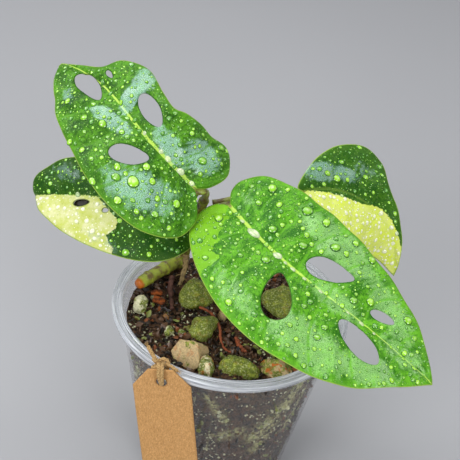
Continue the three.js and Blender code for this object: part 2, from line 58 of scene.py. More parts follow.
# Blades: the same named values as the solids, in millimetres and degrees
HALF_WIDTH = 30
BLADE_THICKNESS, BLADE_GAP = 0.8, 0.35
# The patch list after the holes holds painted sheen and coat gloss: place along, place across, length, width,
# turn and strength.
LEAVES = {
    "leaf_1": dict(
        base=(-18.2, 2, 128.2), length=79, heading=159, turn=-30, sway=12, pitch=43, bend=-55, roll=-35,
        twist=0, fold=(8, 12), cup=(-18, -60),
        left=[(-5, 4), (-8, 9.5), (-7, 17.5), (1, 24), (13, 26.5), (33, 24.5), (55, 21), (68, 14.5),
              (73.5, 10), (76.8, 6)],
        right=[(-4, -5), (-5.5, -14), (0.5, -22.3), (10, -20), (22, -17.2), (27.5, -14.2), (36, -15.2),
               (47.5, -16.3), (55, -12), (60, -5.5), (69, -1.8)],
        holes=[(58, 3.6, 8.8, 3.5, -6, 0.18), (54.4, -4.5, 1.9, 0.9, -7, 0.18),
               (31.8, -7.2, 7.3, 3.3, -9, 0.18), (23.9, 9, 6.8, 3.3, 41, 0.18)],
        film=[(43, -11, 7, 4, -50, 0.9), (40.5, -3.6, 6, 3, -60, 1), (39, 6.2, 10, 3, 14, 1),
              (17, -4, 9, 3.6, -8, 1), (6, -10, 7, 6, 0, 1), (13, 15, 13, 7, 20, 0.8),
              (62, 11, 6, 3, -20, 0.5)],
        pale=[], creamy=0, veins=7, quilt=1.0, seed=11,
    ),
    "leaf_2": dict(
        base=(-5.2, 4, 121.7), length=96, heading=-46, turn=31, sway=-5, pitch=-9, bend=-20, roll=18,
        twist=0, fold=(8, 8), cup=(-18, -18),
        left=[(-5.5, 4.5), (-7, 10.5), (-1.5, 18.8), (13, 25), (30.5, 27), (55, 24.3), (70, 18.3), (86, 9)],
        right=[(-3.7, -5), (-3, -12), (4, -19.8), (19.5, -27), (38, -31), (57, -29), (74, -22.3), (87, -10)],
        holes=[(36.9, -12.7, 9, 4.6, -61, 0.3), (44.7, 8, 9.1, 4, 21, -0.34),
               (68.5, 6.2, 4.5, 1.9, 12, -0.11), (66.8, -7.5, 9.6, 4.4, -13, 0.03)],
        film=[(40, 18, 22, 7, -4, 0.85), (52, 0, 12, 5, 0, 0.7), (28, -22, 15, 5, -10, 0.5),
              (54, -20, 16, 8, 0, 0.8), (2, 8, 6, 5, 0, 0.35), (70, 10, 14, 6, -25, 0.7),
              (74, -14, 14, 6, 20, 0.75), (82, 0, 12, 5, 0, 0.6)],
        pale=[(0, 0.3), (2.4, -3.9), (5.1, -3), (5.5, -6.1), (7.4, -8.4), (8.6, -11), (10.8, -12),
              (11.2, -15.3), (12.9, -17.1), (16, -16.2), (16.5, -19.7), (16, -24), (19, -30), (0, -30),
              (-12, -20), (-12, 0)],
        creamy=0, veins=8, quilt=0.7, seed=22,
    ),
    "leaf_3": dict(
        base=(-22, 12, 112.7), length=65, heading=179, turn=-29, sway=0, pitch=2, bend=-30, roll=-40,
        twist=-5, fold=(8, 8), cup=(-18, -18),
        left=[(-4, 4), (-6.5, 10), (-4.3, 15.8), (3, 21), (13, 22.6), (28.5, 20.5), (45, 15), (57, 8),
              (62.5, 3)],
        right=[(-4, -4.5), (-5, -10), (2, -13.5), (16, -13.8), (30, -12.5), (38, -14), (48.5, -15.6),
               (58, -13), (65.5, -7.5), (66.8, -3)],
        holes=[(39.9, 2.9, 3.2, 1.4, 9, 0.18), (29, 5.2, 1.2, 0.9, 0, 0.18)],
        film=[(50, -9, 10, 4, -10, 0.5), (28, 17, 12, 3, -20, 0.4)],
        # This hole is closed by a near-black sheet that stands in for the shade seen through it.
        scars=[(39.9, 2.9, 3.2, 1.4, 9, 0.18)],
        pale=[(34, -0.2), (30, 3), (26, 6), (23, 8.5), (23.5, 12), (26.5, 15), (24.5, 18), (22.5, 19.5),
              (24, 24), (40, 28), (75, 12), (75, -0.2)],
        creamy=1, veins=6, quilt=0.45, seed=33,
    ),
    "leaf_4": dict(
        base=(22.7, 36, 111.6), length=68, heading=44, turn=-94, sway=-8, pitch=3, bend=-85, roll=38,
        twist=0, fold=(8, 8), cup=(-18, -18),
        left=[(-2.5, 2.2), (2, 6.5), (9.5, 14), (16, 19), (24, 22.2), (31, 20.2), (35, 13.5), (42, 8.2),
              (54, 4)],
        right=[(-4, -4.5), (-5, -11), (1.5, -18), (12, -21.5), (26, -22), (40, -18), (52, -12.5), (62, -5.3)],
        holes=[],
        film=[(9, 7, 7, 4, 0, 1), (18.5, 7.2, 6, 3.2, 0, 0.8), (26, 12, 6, 4, 0, 0.4)],
        pale=[(-2, -0.2), (1.7, 0), (7.3, -1.4), (13.8, -2.2), (21, -2.8), (28.9, -1.8), (35.3, 1.5),
              (38.2, 2.5), (43.8, 3.1), (49.4, 2.9), (53.6, 3.1), (60, 3.4), (70, 3), (70, -12), (45, -26),
              (10, -30), (-14, -20)],
        creamy=1, veins=6, quilt=0.45, seed=44,
    ),
}

# Steps along a midrib, and ribs of the fan that spreads from it to the margin
RIB_STEPS, FAN_RIBS = 60, 72

# Length in millimetres and area in square millimetres that count as nothing
TINY = 1e-5

# The drops that stand out, each as place along, place across and radius; the small ones are strewn
BIG_DROPS = {
    "leaf_1": [
        (45.6, 13.1, 1.5), (58.1, 13.3, 1.25), (38.4, 9.3, 1.43), (16.5, 14.6, 1.92), (21, 17.6, 1.39),
        (17.1, 7.6, 1.29), (23, 14.9, 1.18), (48.8, 7.4, 1), (41.1, 4.3, 0.72), (45.4, 2.1, 0.67),
        (24.6, 24.6, 1.2), (41.7, 22.5, 1.1), (35.6, 20.6, 1.1), (32.1, 16.7, 0.76), (30.4, 19.8, 0.98),
        (28.3, 16.8, 0.76), (15.6, 23, 1.27), (12.6, 19.5, 0.85), (7.5, 13, 1.06), (1.8, 9.9, 1.39),
        (9.4, 21.4, 0.95), (12.5, 9.9, 1.17), (32.1, 11.8, 0.71), (31.7, 5.7, 1.09), (26.6, 4.4, 0.7),
        (15, -12.8, 0.98), (2.7, -19, 1.33), (-0.9, -13.7, 0.88), (2.7, -12.3, 0.66), (5.2, -8.6, 1.52),
        (9.5, -12.1, 0.71), (49, -14, 0.7), (40.7, -5.1, 0.72), (4.6, 17.7, 1.17), (-2.1, 17.9, 0.96),
        (60.3, 17.2, 0.8), (68.9, 11.8, 0.69), (59.4, 9.2, 0.68), (40.4, 16.1, 0.77),
    ],
    "leaf_2": [
        (3.7, 16.2, 1.71), (20.8, 20.5, 2.05), (30.5, 21.8, 1.69), (18.5, 5.4, 1.49), (6.2, 8.6, 1.21),
        (11.8, 13.7, 1.33), (-1.9, 10.9, 1.04), (40.4, 16.2, 1.79), (45.1, 16.9, 1.19), (45.3, 23, 1.33),
        (31, 8.7, 1.48), (29, 12.6, 1.07), (37.5, 11.3, 1.01), (25.9, -5.1, 1.52), (53.9, 22.6, 1.4),
        (57.3, 4.2, 1.29), (62.2, 8, 1.35), (54.9, -11.6, 1.03), (75.9, 11.3, 1.43), (81.4, 8.1, 0.95),
        (28.2, -25.8, 1.14), (13.1, -20.3, 0.99), (14.2, -7.1, 0.71), (3.5, -7, 1.5), (23.2, -24, 0.69),
        (21.5, -25.9, 0.69), (56.9, -26.9, 0.95), (49.1, -25.1, 0.79), (45.8, -22.9, 0.68),
        (54.9, -16.1, 1.13), (45.9, -18.9, 0.9), (52.8, -7.2, 0.8), (43.9, -5.1, 0.92), (39.5, -6.5, 0.81),
        (51.7, 5.9, 0.7), (58.3, 11.7, 0.71), (82.4, -0.5, 0.76), (80.5, -6.9, 0.75), (83.1, -10.8, 1.04),
        (77.7, -17.6, 0.85), (81.5, -14, 0.86), (65.5, -18.3, 0.79), (90.7, -4.4, 0.82), (70.2, 2.8, 0.76),
        (71.1, -3, 0.6), (7.5, 20.6, 0.98), (15.6, 23.8, 0.91), (47.8, 20.2, 0.72),
    ],
    "leaf_3": [(17.9, 20.2, 1.4), (20.9, 18.4, 0.6), (24.1, 16.6, 0.61), (15.8, 17, 0.38),
               (12.1, 15.4, 0.53)],
    "leaf_4": [(15, 4.6, 1.36), (11.1, 6.2, 1.21), (26.7, 9.5, 0.97), (19.3, 5, 0.89), (32, 14.5, 0.7)],
}

# Pale drops that lie along the midrib: how far across, then for each its place along, radius and stretch
RIB_DROP_SIDE = -0.4
# These drops are painted pale as a painted highlight of the light that each gathers.
RIB_DROPS = {
    "leaf_1": [(2.2, 0.9, 1.3), (8, 1.15, 1.4), (14.2, 0.95, 1.5), (17.8, 0.75, 1.3), (26.7, 0.7, 1.2)],
    "leaf_2": [(8.4, 0.85, 1.2), (14.9, 1.5, 1.9), (27.1, 1.35, 1.35), (30.9, 0.7, 1.2), (34.3, 0.8, 1.4),
               (39.5, 0.65, 1.5), (46.5, 0.7, 1.3), (58.2, 0.6, 1.3), (64.1, 0.8, 1.4), (69.5, 0.6, 1.2)],
}

# Stems and roots
PETIOLE_RADIUS, CUTTING_RADIUS, SHOOT_RADIUS = 1.3, 2.5, 2.0
CUTTING = [(-36.4, 6.6, 78.2), (-32.5, 12.5, 78.3), (-28, 19, 78), (-24.2, 24.6, 77.2), (-22, 28, 75.5)]
SHOOT = [(-21.2, 28, 75), (-20.2, 27, 86), (-18.8, 23, 98), (-16.6, 18, 108.5), (-15, 14.6, 115.4)]

# Nodes: share of the length, swelling and width
CUTTING_NODES = [(0.22, 0.13, 0.02), (0.52, 0.15, 0.022), (0.82, 0.14, 0.02)]
SHOOT_NODES = [(0.45, 0.16, 0.02), (0.8, 0.16, 0.02)]

# Leaf stalks: path from the shoot towards each blade
PETIOLES = {
    "leaf_1": [(-14.9, 14.4, 115.9), (-14.3, 9, 122.3), (-15.3, 4.4, 126)],
    "leaf_2": [(-12.9, 15.2, 110.3), (-8.6, 12.4, 115.2), (-6, 8.4, 119)],
    "leaf_3": [(-23.3, 22.6, 93), (-23.8, 19.6, 103), (-21.8, 15.6, 110)],
    "leaf_4": [(-11.6, 17.6, 112.6), (-5.4, 20, 113.7), (8, 28, 114.4)],
}

# Pot, in millimetres
POT_HEIGHT, MOUTH_RADIUS, FOOT_RADIUS, WALL = 80, 40.8, 29, 0.9
DRAIN_CIRCLE, DRAIN_RADIUS, DRAIN_COUNT = 20, 3, 6
TIE_HOLE, TIE_HOLE_RADIUS = (-21.2, -37.1), 1.1
SOIL_LEVEL, SOIL_FOOT = 73.6, 1.9

# Stones: centre, half sizes, seed of the solid's lumps, finish, and flat faces as direction and reach
STONES = {
    "stone_1": ((-34.2, -0.6, 74.6), (3.7, 3.4, 3.1), 1, "pumice",
                [((-0.5, -0.6, 0.6), 0.7), ((0.7, -0.4, 0.5), 0.7)]),
    "stone_2": ((-13.6, 8.3, 75.8), (6.4, 8, 6.6), 2, "moss", [((-0.4, -0.7, 0.5), 0.86)]),
    "stone_3": ((-9.4, -11, 74.8), (5.2, 7.6, 5.8), 3, "moss", []),
    "stone_4": ((-13, -24.3, 75), (7.7, 6.6, 5.6), 4, "tan",
                [((-0.3, -0.8, 0.6), 0.5), ((0.9, -0.2, 0.4), 0.7), ((-0.9, 0.3, 0.3), 0.74),
                 ((0.1, 0.8, 0.6), 0.6)]),
    "stone_5": ((-5.8, -30.6, 74), (3.6, 4.2, 4.5), 5, "lichen",
                [((-0.6, -0.5, 0.6), 0.7), ((0.8, -0.3, 0.5), 0.7), ((0, -0.9, 0.4), 0.75)]),
    "stone_6": ((5.5, -28.2, 73.8), (7.4, 6.3, 4.8), 6, "moss", []),
    "stone_7": ((18.8, -26.6, 74.2), (5.8, 5.4, 4.8), 7, "rust",
                [((0.1, -0.7, 0.7), 0.6), ((-0.8, -0.2, 0.5), 0.7), ((0.7, 0.1, 0.7), 0.7)]),
    "stone_8": ((-2.6, 0, 74), (2.2, 2.4, 2.2), 8, "tan", []),
    "stone_9": ((-21.4, -12.9, 73.8), (1.9, 1.9, 1.8), 9, "crumbly", []),
    "stone_10": ((-16.7, -13, 73.8), (1.6, 1.6, 1.5), 10, "crumbly", []),
    "stone_11": ((18.6, 10.2, 75.6), (6.9, 8.2, 6.5), 11, "moss", []),
}

# Stones with a waist, by seed: how far the lobes lean to the side and how deep the waist is
LOBED = {3: (1.9, 0.3)}

# Chips: centre, size, turn and tilt; roots: radius and path, on the mix where no height is given
CHIPS = [((-27.6, 2.3, 75.4), (5, 2.8, 1.8), -25, 12), ((-29, 6.4, 75.6), (4.6, 2.2, 1.6), 15, -8)]
ROOTS = {
    "root_1": (1.1, [(-19.8, 22.6, 83.6), (-19.6, 20, 81.2), (-20.1, 17, 78), (-20.8, 13.6, 75.2)]),
    "root_2": (1.15, [(-24.2, 18, 75.2), (-24.4, 13.5, 74.4), (-23.6, 8.6), (-22, 1.6)]),
    "root_3": (0.5, [(-11.6, 0.4, 76.2), (-7, -3.6, 77), (-3.4, -9, 76.8), (-2.6, -13.2, 75.6), (-0.6, -17.3),
                     (2.6, -19.6)]),
    "root_4": (0.85, [(3.4, -11.5), (5.2, -15.5), (7.4, -19.6)]),
}

# Tag, measured from its hole
TAG_WIDTH, TAG_HEIGHT, TAG_TOP, TAG_CLIP = 20.6, 46, 8.8, 7.2
TAG_DROP, TAG_HOLE_RADIUS, TAG_THICKNESS = 5.4, 1.9, 0.7
TAG_TURNS = [(-4, "Z"), (88, "X"), (9, "Z")]
TAG_HOLE = (-20.6, -43.7, 77.3)
KNOT, TWINE_RADIUS = (-21.9, -39.7, 81.7), 0.72

# Floor corners in millimetres
FLOOR_CORNERS = [(-6000, -6000), (6000, -6000), (6000, 6000), (-6000, 6000)]

# Camera: degrees of rise and roll, and the point that it looks at in metres
CAMERA_RISE, CAMERA_ROLL = 35, 7.5
CAMERA_TARGET = (-0.004, 0, 0.114)

# Lights: place and size in metres, and power as a share of the overhead light's
LIGHTS = {
    "overhead": ((-0.1, 0.2, 0.9), 0.65, 1),
    "left_box": ((-0.65, 0.12, 0.75), 0.42, 0.95),
    "right_box": ((0.8, 0.25, 0.7), 0.4, 0.3),
    "front_box": ((-0.6, -0.85, 0.6), 0.45, 1.8),
    "low_box": ((0.55, -0.9, 0.5), 0.45, 1.5),
}
LIGHT_TARGET, LIGHT_TINT = (0, 0, 0.1), (0.97, 0.985, 1)
WORLD_TINT, WORLD_STRENGTH = (0.93, 0.95, 1, 1), 0.38


def srgb(code):
    """A colour written as six hex digits, as the linear values that shaders use."""
    parts = [int(code[i:i + 2], 16) / 255 for i in (0, 2, 4)]
    return tuple(p / 12.92 if p <= 0.04045 else ((p + 0.055) / 1.055) ** 2.4 for p in parts)


def dim(tint, factor):
    """A colour made darker."""
    return tuple(v * factor for v in tint)


def between(a, b):
    """The colour half way between two."""
    return tuple((p + q) / 2 for p, q in zip(a, b))


def colour(name, text, code):
    return FloatVectorProperty(name=name, description=text, subtype="COLOR", size=3, min=0, max=1,
                               default=srgb(code))


def length(name, text, value):
    return FloatProperty(name=name, description=text, default=value * MM, min=0, unit="LENGTH", precision=5)


def share(name, text, value):
    return FloatProperty(name=name, description=text, default=value, min=0, subtype="FACTOR")


class LeafSettings(bpy.types.PropertyGroup):
    thickness: length("Blade thickness", "Thickness of each blade at its middle", 0.56)
    grid: length("Mesh spacing", "Distance between the points of a blade's mesh", 0.75)
    deep: colour("Deep green", "Darker green of the marbling", "2f8410")
    light: colour("Light green", "Lighter green of the marbling", "74c428")
    rib: colour("Midrib", "Colour of the midrib", "b9dc58")
    under: colour("Underside", "Colour of the underside", "86a856")
    cream: colour("Cream", "Palest part of the variegation", "e2dfb4")
    yellow: colour("Yellow cream", "Yellow part of the variegation", "ccd65e")
    butter: colour("Butter yellow", "Yellow part of the leaf behind", "dcec4c")
    # Colour of the painted sheen on the wet patches of the blades.
    film: colour("Wet bloom", "Bluish bloom under a film of fine water", "b2e0cc")
    # Colour of the painted sheen on the largest leaf.
    sheen: colour("Wet sheen", "Pale green of wet places on the largest leaf", "a4d884")
    # Colour of the painted glints on specks of fine water.
    mist_with_painted_glints: colour("Mist", "Specks of very fine water", "c9e888")
    lime: colour("Lime", "Fresh lobe of the largest leaf", "86cc1c")


class WaterSettings(bpy.types.PropertyGroup):
    strewn: IntProperty(name="Small drops", description="Small drops strewn on the largest leaf", default=820,
                        min=0)
    # Drop colours hold painted light: a drop is painted brighter than the leaf beneath as the light it
    # gathers, and paler still at its centre.
    green: colour("Drop on green", "Colour that a drop gathers on green", "9ad826")
    leafy: colour("Dull drop", "Colour of the drops that stand out least", "4f9a16")
    pale: colour("Drop on cream", "Colour that a drop gathers on cream", "f4f6cf")
    # Colour of the painted shade round the edge of each drop.
    edge: colour("Drop edge", "Dark line round a drop", "1d5a06")


class StemSettings(bpy.types.PropertyGroup):
    cutting: colour("Cutting", "Old green cutting", "a4b03c")
    petiole: colour("Petiole", "Leaf stalks", "97a548")
    node: colour("Node", "Brown rings and scars", "6e5a34")
    rust: colour("Cut end", "Dried cut end", "b8641c")
    root: colour("Root", "Dark root", "6a4438")
    sheath: colour("Sheath", "Dried sheath", "a58a5a")
    thread: colour("Thread root", "Thin reddish root", "a4552e")


class PotSettings(bpy.types.PropertyGroup):
    plastic: colour("Plastic", "Tint of the clear plastic", "cdd3dc")
    wall: share("Wall cover", "How much the wall hides", 0.014)
    rim: share("Rim cover", "How much the thick rim hides", 0.46)


class MixSettings(bpy.types.PropertyGroup):
    crumbs: IntProperty(name="Crumbs", description="Loose crumbs on the surface", default=3000, min=0)
    pressed: IntProperty(name="Pressed crumbs", description="Crumbs against the wall", default=2600, min=0)
    dark: colour("Dark", "Damp fines", "120d0b")
    brown: colour("Brown", "Bark", "64462f")
    rust: colour("Rust", "Fresh bark", "8a4c24")
    perlite: colour("Perlite", "Perlite crumbs", "dcdcb4")
    algae: colour("Algae", "Algae behind the wall", "c6c488")


class StoneSettings(bpy.types.PropertyGroup):
    moss: colour("Moss", "Green growth on stone", "96a032")
    deep_moss: colour("Deep moss", "Darker growth", "5f6c20")
    pumice: colour("Pumice", "Pale stone", "e8e4bc")
    tan: colour("Tan stone", "Beige stone", "cdb282")
    rust: colour("Rust", "Rusty patches", "b4601e")


class TagSettings(bpy.types.PropertyGroup):
    kraft: colour("Card", "Kraft card", "cf9f66")
    fibre: colour("Fibre", "Darker fibres in the card", "a87c4a")
    twine: colour("Twine", "Jute twine", "c8a671")
    shade: colour("Twine shade", "Between the strands", "7f5f38")


class StageSettings(bpy.types.PropertyGroup):
    floor: colour("Floor", "Plain floor", "a8a8aa")
    focal: FloatProperty(name="Focal length", description="Camera lens in millimetres", default=78.26, min=1)
    distance: length("Camera distance", "From the camera to the point that it looks at", 360)
    key: FloatProperty(name="Overhead light", description="Power of the large overhead light", default=3.5,
                       min=0)


GROUPS = {
    "vine_leaf": LeafSettings, "vine_water": WaterSettings, "vine_stem": StemSettings,
    "vine_pot": PotSettings, "vine_mix": MixSettings, "vine_stone": StoneSettings, "vine_tag": TagSettings,
    "vine_stage": StageSettings,
}


# Meshes


class Shape:
    """Gathers points, faces and values per point in millimetres, and becomes one object."""

    def __init__(self):
        self.points, self.faces, self.values, self.count = [], [], {}, 0

    def add(self, points, faces, **values):
        points = np.asarray(points, float).reshape(-1, 3)
        self.points.append(points)
        self.faces += [[self.count + int(i) for i in face] for face in faces]
        for name in sorted(set(values) | set(self.values)):
            known = self.values.get(name)
            given = np.asarray(values.get(name, np.zeros(known[0].shape[1:]) if known else 0.0), float)
            if given.ndim < 1 or len(given) != len(points):
                given = np.broadcast_to(given, (len(points), *given.shape))
            if name not in self.values:
                self.values[name] = [np.zeros((self.count, *given.shape[1:]))] if self.count else []
            self.values[name].append(given)
        self.count += len(points)

    def build(self, name, material, smooth=True):
        mesh = bpy.data.meshes.new(name)
        mesh.from_pydata((np.concatenate(self.points) * MM).tolist(), [], self.faces)
        for key, parts in self.values.items():
            stored = np.concatenate(parts)
            kind, field = ("FLOAT", "value") if stored.ndim == 1 else ("FLOAT_VECTOR", "vector")
            layer = mesh.attributes.new(key, kind, "POINT")
            layer.data.foreach_set(field, stored.astype(np.float32).ravel())
        mesh.shade_smooth() if smooth else mesh.shade_flat()
        mesh.validate()
        mesh.update()
        made = bpy.data.objects.new(name, mesh)
        made.data.materials.append(material)
        bpy.context.scene.collection.objects.link(made)
        return made


def finish_piece(piece, slot, *nodes):
    """Sets the body of one piece and hides the nodes that it replaces. The slot is not used."""
    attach(piece, "root")
    if nodes:
        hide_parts(*nodes)


def smooth_path(points, count):
    """Points along a Catmull-Rom curve through the given ones."""
    p = np.asarray(points, float)
    p = np.vstack([2 * p[0] - p[1], p, 2 * p[-1] - p[-2]])
    s = np.linspace(0, len(p) - 3, count)
    i = np.minimum(s.astype(int), len(p) - 4)
    t = (s - i)[:, None]
    a, b, c, d = p[i], p[i + 1], p[i + 2], p[i + 3]
    square, cube = 2 * a - 5 * b + 4 * c - d, 3 * b - a - 3 * c + d
    return 0.5 * (2 * b + (c - a) * t + square * t ** 2 + cube * t ** 3)


def along_frames(path):
    """Unit tangents and two steady cross directions along a path."""
    tangent = np.gradient(path, axis=0)
    tangent /= np.linalg.norm(tangent, axis=1)[:, None] + 1e-12
    start = np.array([0.0, 0, 1]) if abs(tangent[0][2]) < 0.8 else np.array([1.0, 0, 0])
    one = np.zeros_like(path)
    side = np.cross(tangent[0], start)
    for i, t in enumerate(tangent):
        side = side - t * (side @ t)
        side /= np.linalg.norm(side) + 1e-12
        one[i] = side
    return tangent, one, np.cross(tangent, one)


def round_angles(sides):
    """Even angles round a circle."""
    return np.linspace(0, 2 * np.pi, sides, endpoint=False)


def round_pairs(sides):
    """Each place of a ring with the next one."""
    return [(j, (j + 1) % sides) for j in range(sides)]


def ring_faces(rows, sides):
    """Faces between rings of points that follow each other."""
    return [(i * sides + j, i * sides + k, (i + 1) * sides + k, (i + 1) * sides + j)
            for i in range(rows - 1) for j, k in round_pairs(sides)]


def end_faces(tip, first, sides, turned=False):
    """Triangles between a tip and the ring that starts at the first point."""
    faces = [(tip, first + k, first + j) for j, k in round_pairs(sides)]
    return [face[::-1] for face in faces] if turned else faces


def closed_rings(rows, sides):
    """Faces of rings that follow each other and end in two tips, whose points come last."""
    last = rows * sides
    return (ring_faces(rows, sides) + end_faces(last, 0, sides)
            + end_faces(last + 1, last - sides, sides, turned=True))


def sheet_faces(upper, count):
    """Faces of a closed sheet: the upper ones, the same below turned over, and a band round each edge."""
    upper = [tuple(int(i) for i in face) for face in upper]
    once = {}
    for face in upper:
        for a, b in zip(face, face[1:] + face[:1]):
            once.pop((b, a)) if (b, a) in once else once.setdefault((a, b))
    lower = [tuple(i + count for i in face[::-1]) for face in upper]
    return upper + lower + [(b, a, a + count, b + count) for a, b in once]


def add_tube(shape, path, radii, sides, squash=1.0, ripple=None, **values):
    """A closed tube along a path; ripple(s, angle) scales its radius, and each end is a round cap."""
    path = np.asarray(path, float)
    count = len(path)
    radii = np.broadcast_to(np.asarray(radii, float), (count,))
    _, one, two = along_frames(path)
    angle = round_angles(sides)
    s = np.linspace(0, 1, count)
    scale = ripple(s[:, None], angle[None, :]) if ripple else np.ones((count, sides))
    ring = radii[:, None] * scale
    points = (path[:, None] + one[:, None] * (ring * np.cos(angle))[..., None]
              + two[:, None] * (ring * squash * np.sin(angle))[..., None])
    tips = np.array([path[0] + (path[0] - path[1]) * 0.3, path[-1] + (path[-1] - path[-2]) * 0.3])
    shape.add(np.vstack([points.reshape(-1, 3), tips]), closed_rings(count, sides), **values)


def along_tube(values, sides, first=0.0, last=0.0):
    """Values per step of a tube given to each of its points, and those of its two tips."""
    return np.append(np.repeat(values, sides), [first, last])


def add_lathe(shape, profile, sides):
    """A closed body of revolution about z from (radius, height) pairs that run from axis to axis."""
    profile = np.asarray(profile, float)
    angle = round_angles(sides)
    inner = profile[1:-1]
    ring = np.stack([inner[:, :1] * np.cos(angle), inner[:, :1] * np.sin(angle),
                     np.broadcast_to(inner[:, 1:], (len(inner), sides))], -1)
    points = np.vstack([ring.reshape(-1, 3), [[0, 0, profile[0][1]], [0, 0, profile[-1][1]]]])
    shape.add(points, closed_rings(len(inner), sides))


def points_and_faces(made):
    """Points and faces of an edit mesh, which is then freed."""
    points = np.array([v.co[:] for v in made.verts])
    faces = [[v.index for v in f.verts] for f in made.faces]
    made.free()
    return points, faces


def ball(level):
    """Points and triangles of a round ball."""
    made = bmesh.new()
    bmesh.ops.create_icosphere(made, subdivisions=level, radius=1)
    return points_and_faces(made)


def cut_with(piece, cutters):
    """Cuts the cutters out of a piece and removes them."""
    for cutter in cutters:
        step = piece.modifiers.new("cut", "BOOLEAN")
        step.operation, step.solver, step.object = "DIFFERENCE", "EXACT", cutter
    graph = bpy.context.evaluated_depsgraph_get()
    graph.update()
    mesh = bpy.data.meshes.new_from_object(piece.evaluated_get(graph))
    piece.modifiers.clear()
    piece.data = mesh
    for cutter in cutters:
        bpy.data.objects.remove(cutter)


# Shader nodes


class Wiring:
    """Short ways to add nodes to one tree. Each gives back an output of the node that it adds."""

    def __init__(self, tree):
        self.tree = tree

    def add(self, kind, inputs=None, out=0, **settings):
        made = self.tree.nodes.new("ShaderNode" + kind)
        for name, value in settings.items():
            setattr(made, name, value)
        for key, value in (inputs or {}).items():
            self.feed(made.inputs[key], value)
        return made.outputs[out]

    def feed(self, socket, value):
        if isinstance(value, bpy.types.NodeSocket):
            self.tree.links.new(value, socket)
        elif hasattr(value, "__len__") and len(value) == 3 and socket.type == "RGBA":
            socket.default_value = (*value, 1)
        else:
            socket.default_value = value

    def math(self, operation, a, b=0.0):
        return self.add("Math", {0: a, 1: b}, operation=operation)

    def blend(self, factor, a, b):
        return self.add("Mix", {0: factor, 6: a, 7: b}, out=2, data_type="RGBA")

    def step(self, value, low, high, to_low=0.0, to_high=1.0):
        return self.add("MapRange", {0: value, 1: low, 2: high, 3: to_low, 4: to_high},
                        interpolation_type="SMOOTHSTEP")

    def noise(self, vector, scale, detail=3.0, rough=0.55, twist=0.0):
        return self.add("TexNoise", {"Vector": vector, "Scale": scale, "Detail": detail, "Roughness": rough,
                                     "Distortion": twist})

    def cells(self, vector, scale):
        return self.add("TexVoronoi", {"Vector": vector, "Scale": scale})

    def stretch(self, vector, factors):
        return self.add("VectorMath", {0: vector, 1: factors}, operation="MULTIPLY")

    def times(self, a, b):
        return self.math("MULTIPLY", a, b)

    def plus(self, a, b):
        return self.math("ADD", a, b)

    def value(self, name):
        return self.add("Attribute", out=2, attribute_name=name)

    def vector(self, name):
        return self.add("Attribute", out=1, attribute_name=name)

    def place(self):
        """The point's place in metres, times 1000, so that scales read per millimetre."""
        at = self.add("TexCoord", out=3)
        return self.add("VectorMath", {0: at, 3: 1000.0}, operation="SCALE")

    def group(self, tree, inputs):
        made = self.tree.nodes.new("ShaderNodeGroup")
        made.node_tree = tree
        for key, value in inputs.items():
            self.feed(made.inputs[key], value)
        return made.outputs


def make_group(name, inputs, outputs):
    """An empty shader group with its sockets, and the wiring, inputs and output node to fill it in."""
    tree = bpy.data.node_groups.new(name, "ShaderNodeTree")
    kinds = {"colour": "NodeSocketColor", "value": "NodeSocketFloat"}
    for key, kind in inputs.items():
        tree.interface.new_socket(key, in_out="INPUT", socket_type=kinds[kind])
    for key, kind in outputs.items():
        tree.interface.new_socket(key, in_out="OUTPUT", socket_type=kinds[kind])
    given = tree.nodes.new("NodeGroupInput").outputs
    result = tree.nodes.new("NodeGroupOutput").inputs
    return tree, Wiring(tree), given, result


def start_material(name, **constants):
    """A material, its wiring and its Principled shader, with that shader's plain sockets set."""
    made = bpy.data.materials.new(name)
    made.use_nodes = True
    tree = made.node_tree
    tree.nodes.clear()
    shader = tree.nodes.new("ShaderNodeBsdfPrincipled")
    target = tree.nodes.new("ShaderNodeOutputMaterial")
    tree.links.new(shader.outputs[0], target.inputs[0])
    wiring = Wiring(tree)
    for key, value in constants.items():
        wiring.feed(shader.inputs[key.replace("_", " ").title().replace("Ior", "IOR")], value)
    return made, wiring, shader


def paint(w, shader, tint, height, depth, strength):
    """Colour and relief of a material."""
    w.feed(shader.inputs["Base Color"], tint)
    relief_node = w.add("Bump", {"Height": height, "Distance": depth, "Strength": strength})
    w.feed(shader.inputs["Normal"], relief_node)


def grain_group():
    """Uneven tone and fine height, shared by bark, crumbs, mix, stems and roots."""
    found = bpy.data.node_groups.get("vine grain")
    if found:
        return found
    tree, w, given, result = make_group(
        "vine grain", {"Dark": "colour", "Light": "colour", "Size": "value"},
        {"Color": "colour", "Mask": "value", "Height": "value"})
    at = w.place()
    scaled = w.add("VectorMath", {0: at, 3: w.math("DIVIDE", 1.0, given["Size"])}, operation="SCALE")
    coarse = w.noise(scaled, 1.0, 4.0, 0.6)
    fine = w.noise(scaled, 5.0, 3.0, 0.6)
    mask = w.step(coarse, 0.36, 0.64)
    tone = w.blend(mask, given["Dark"], given["Light"])
    w.feed(result["Color"], w.blend(w.step(fine, 0.35, 0.65, 0.0, 0.35), tone, given["Dark"]))
    w.feed(result["Mask"], mask)
    w.feed(result["Height"], w.plus(w.times(coarse, 0.6), w.times(fine, 0.4)))
    return tree


def grain_of(w, dark, light, size):
    """The shared grain in one material's colours and size."""
    return w.group(grain_group(), {"Dark": dark, "Light": light, "Size": size})


# Blades


def frame_at(leaf, along):
    """Tangent, side and normal of a midrib at shares of its length."""
    pitch = np.radians(leaf["pitch"] + leaf["bend"] * along)
    heading = np.radians(leaf["heading"] + leaf["turn"] * along + leaf["sway"] * np.cos(2 * np.pi * along))
    roll = np.radians(leaf["roll"] + leaf["twist"] * along)[..., None]
    tangent = np.stack([np.cos(pitch) * np.cos(heading), np.cos(pitch) * np.sin(heading), np.sin(pitch)], -1)
    level = np.stack([-np.sin(heading), np.cos(heading), 0 * heading], -1)
    above = np.cross(tangent, level)
    side = level * np.cos(roll) + above * np.sin(roll)
    return tangent, side, above * np.cos(roll) - level * np.sin(roll)


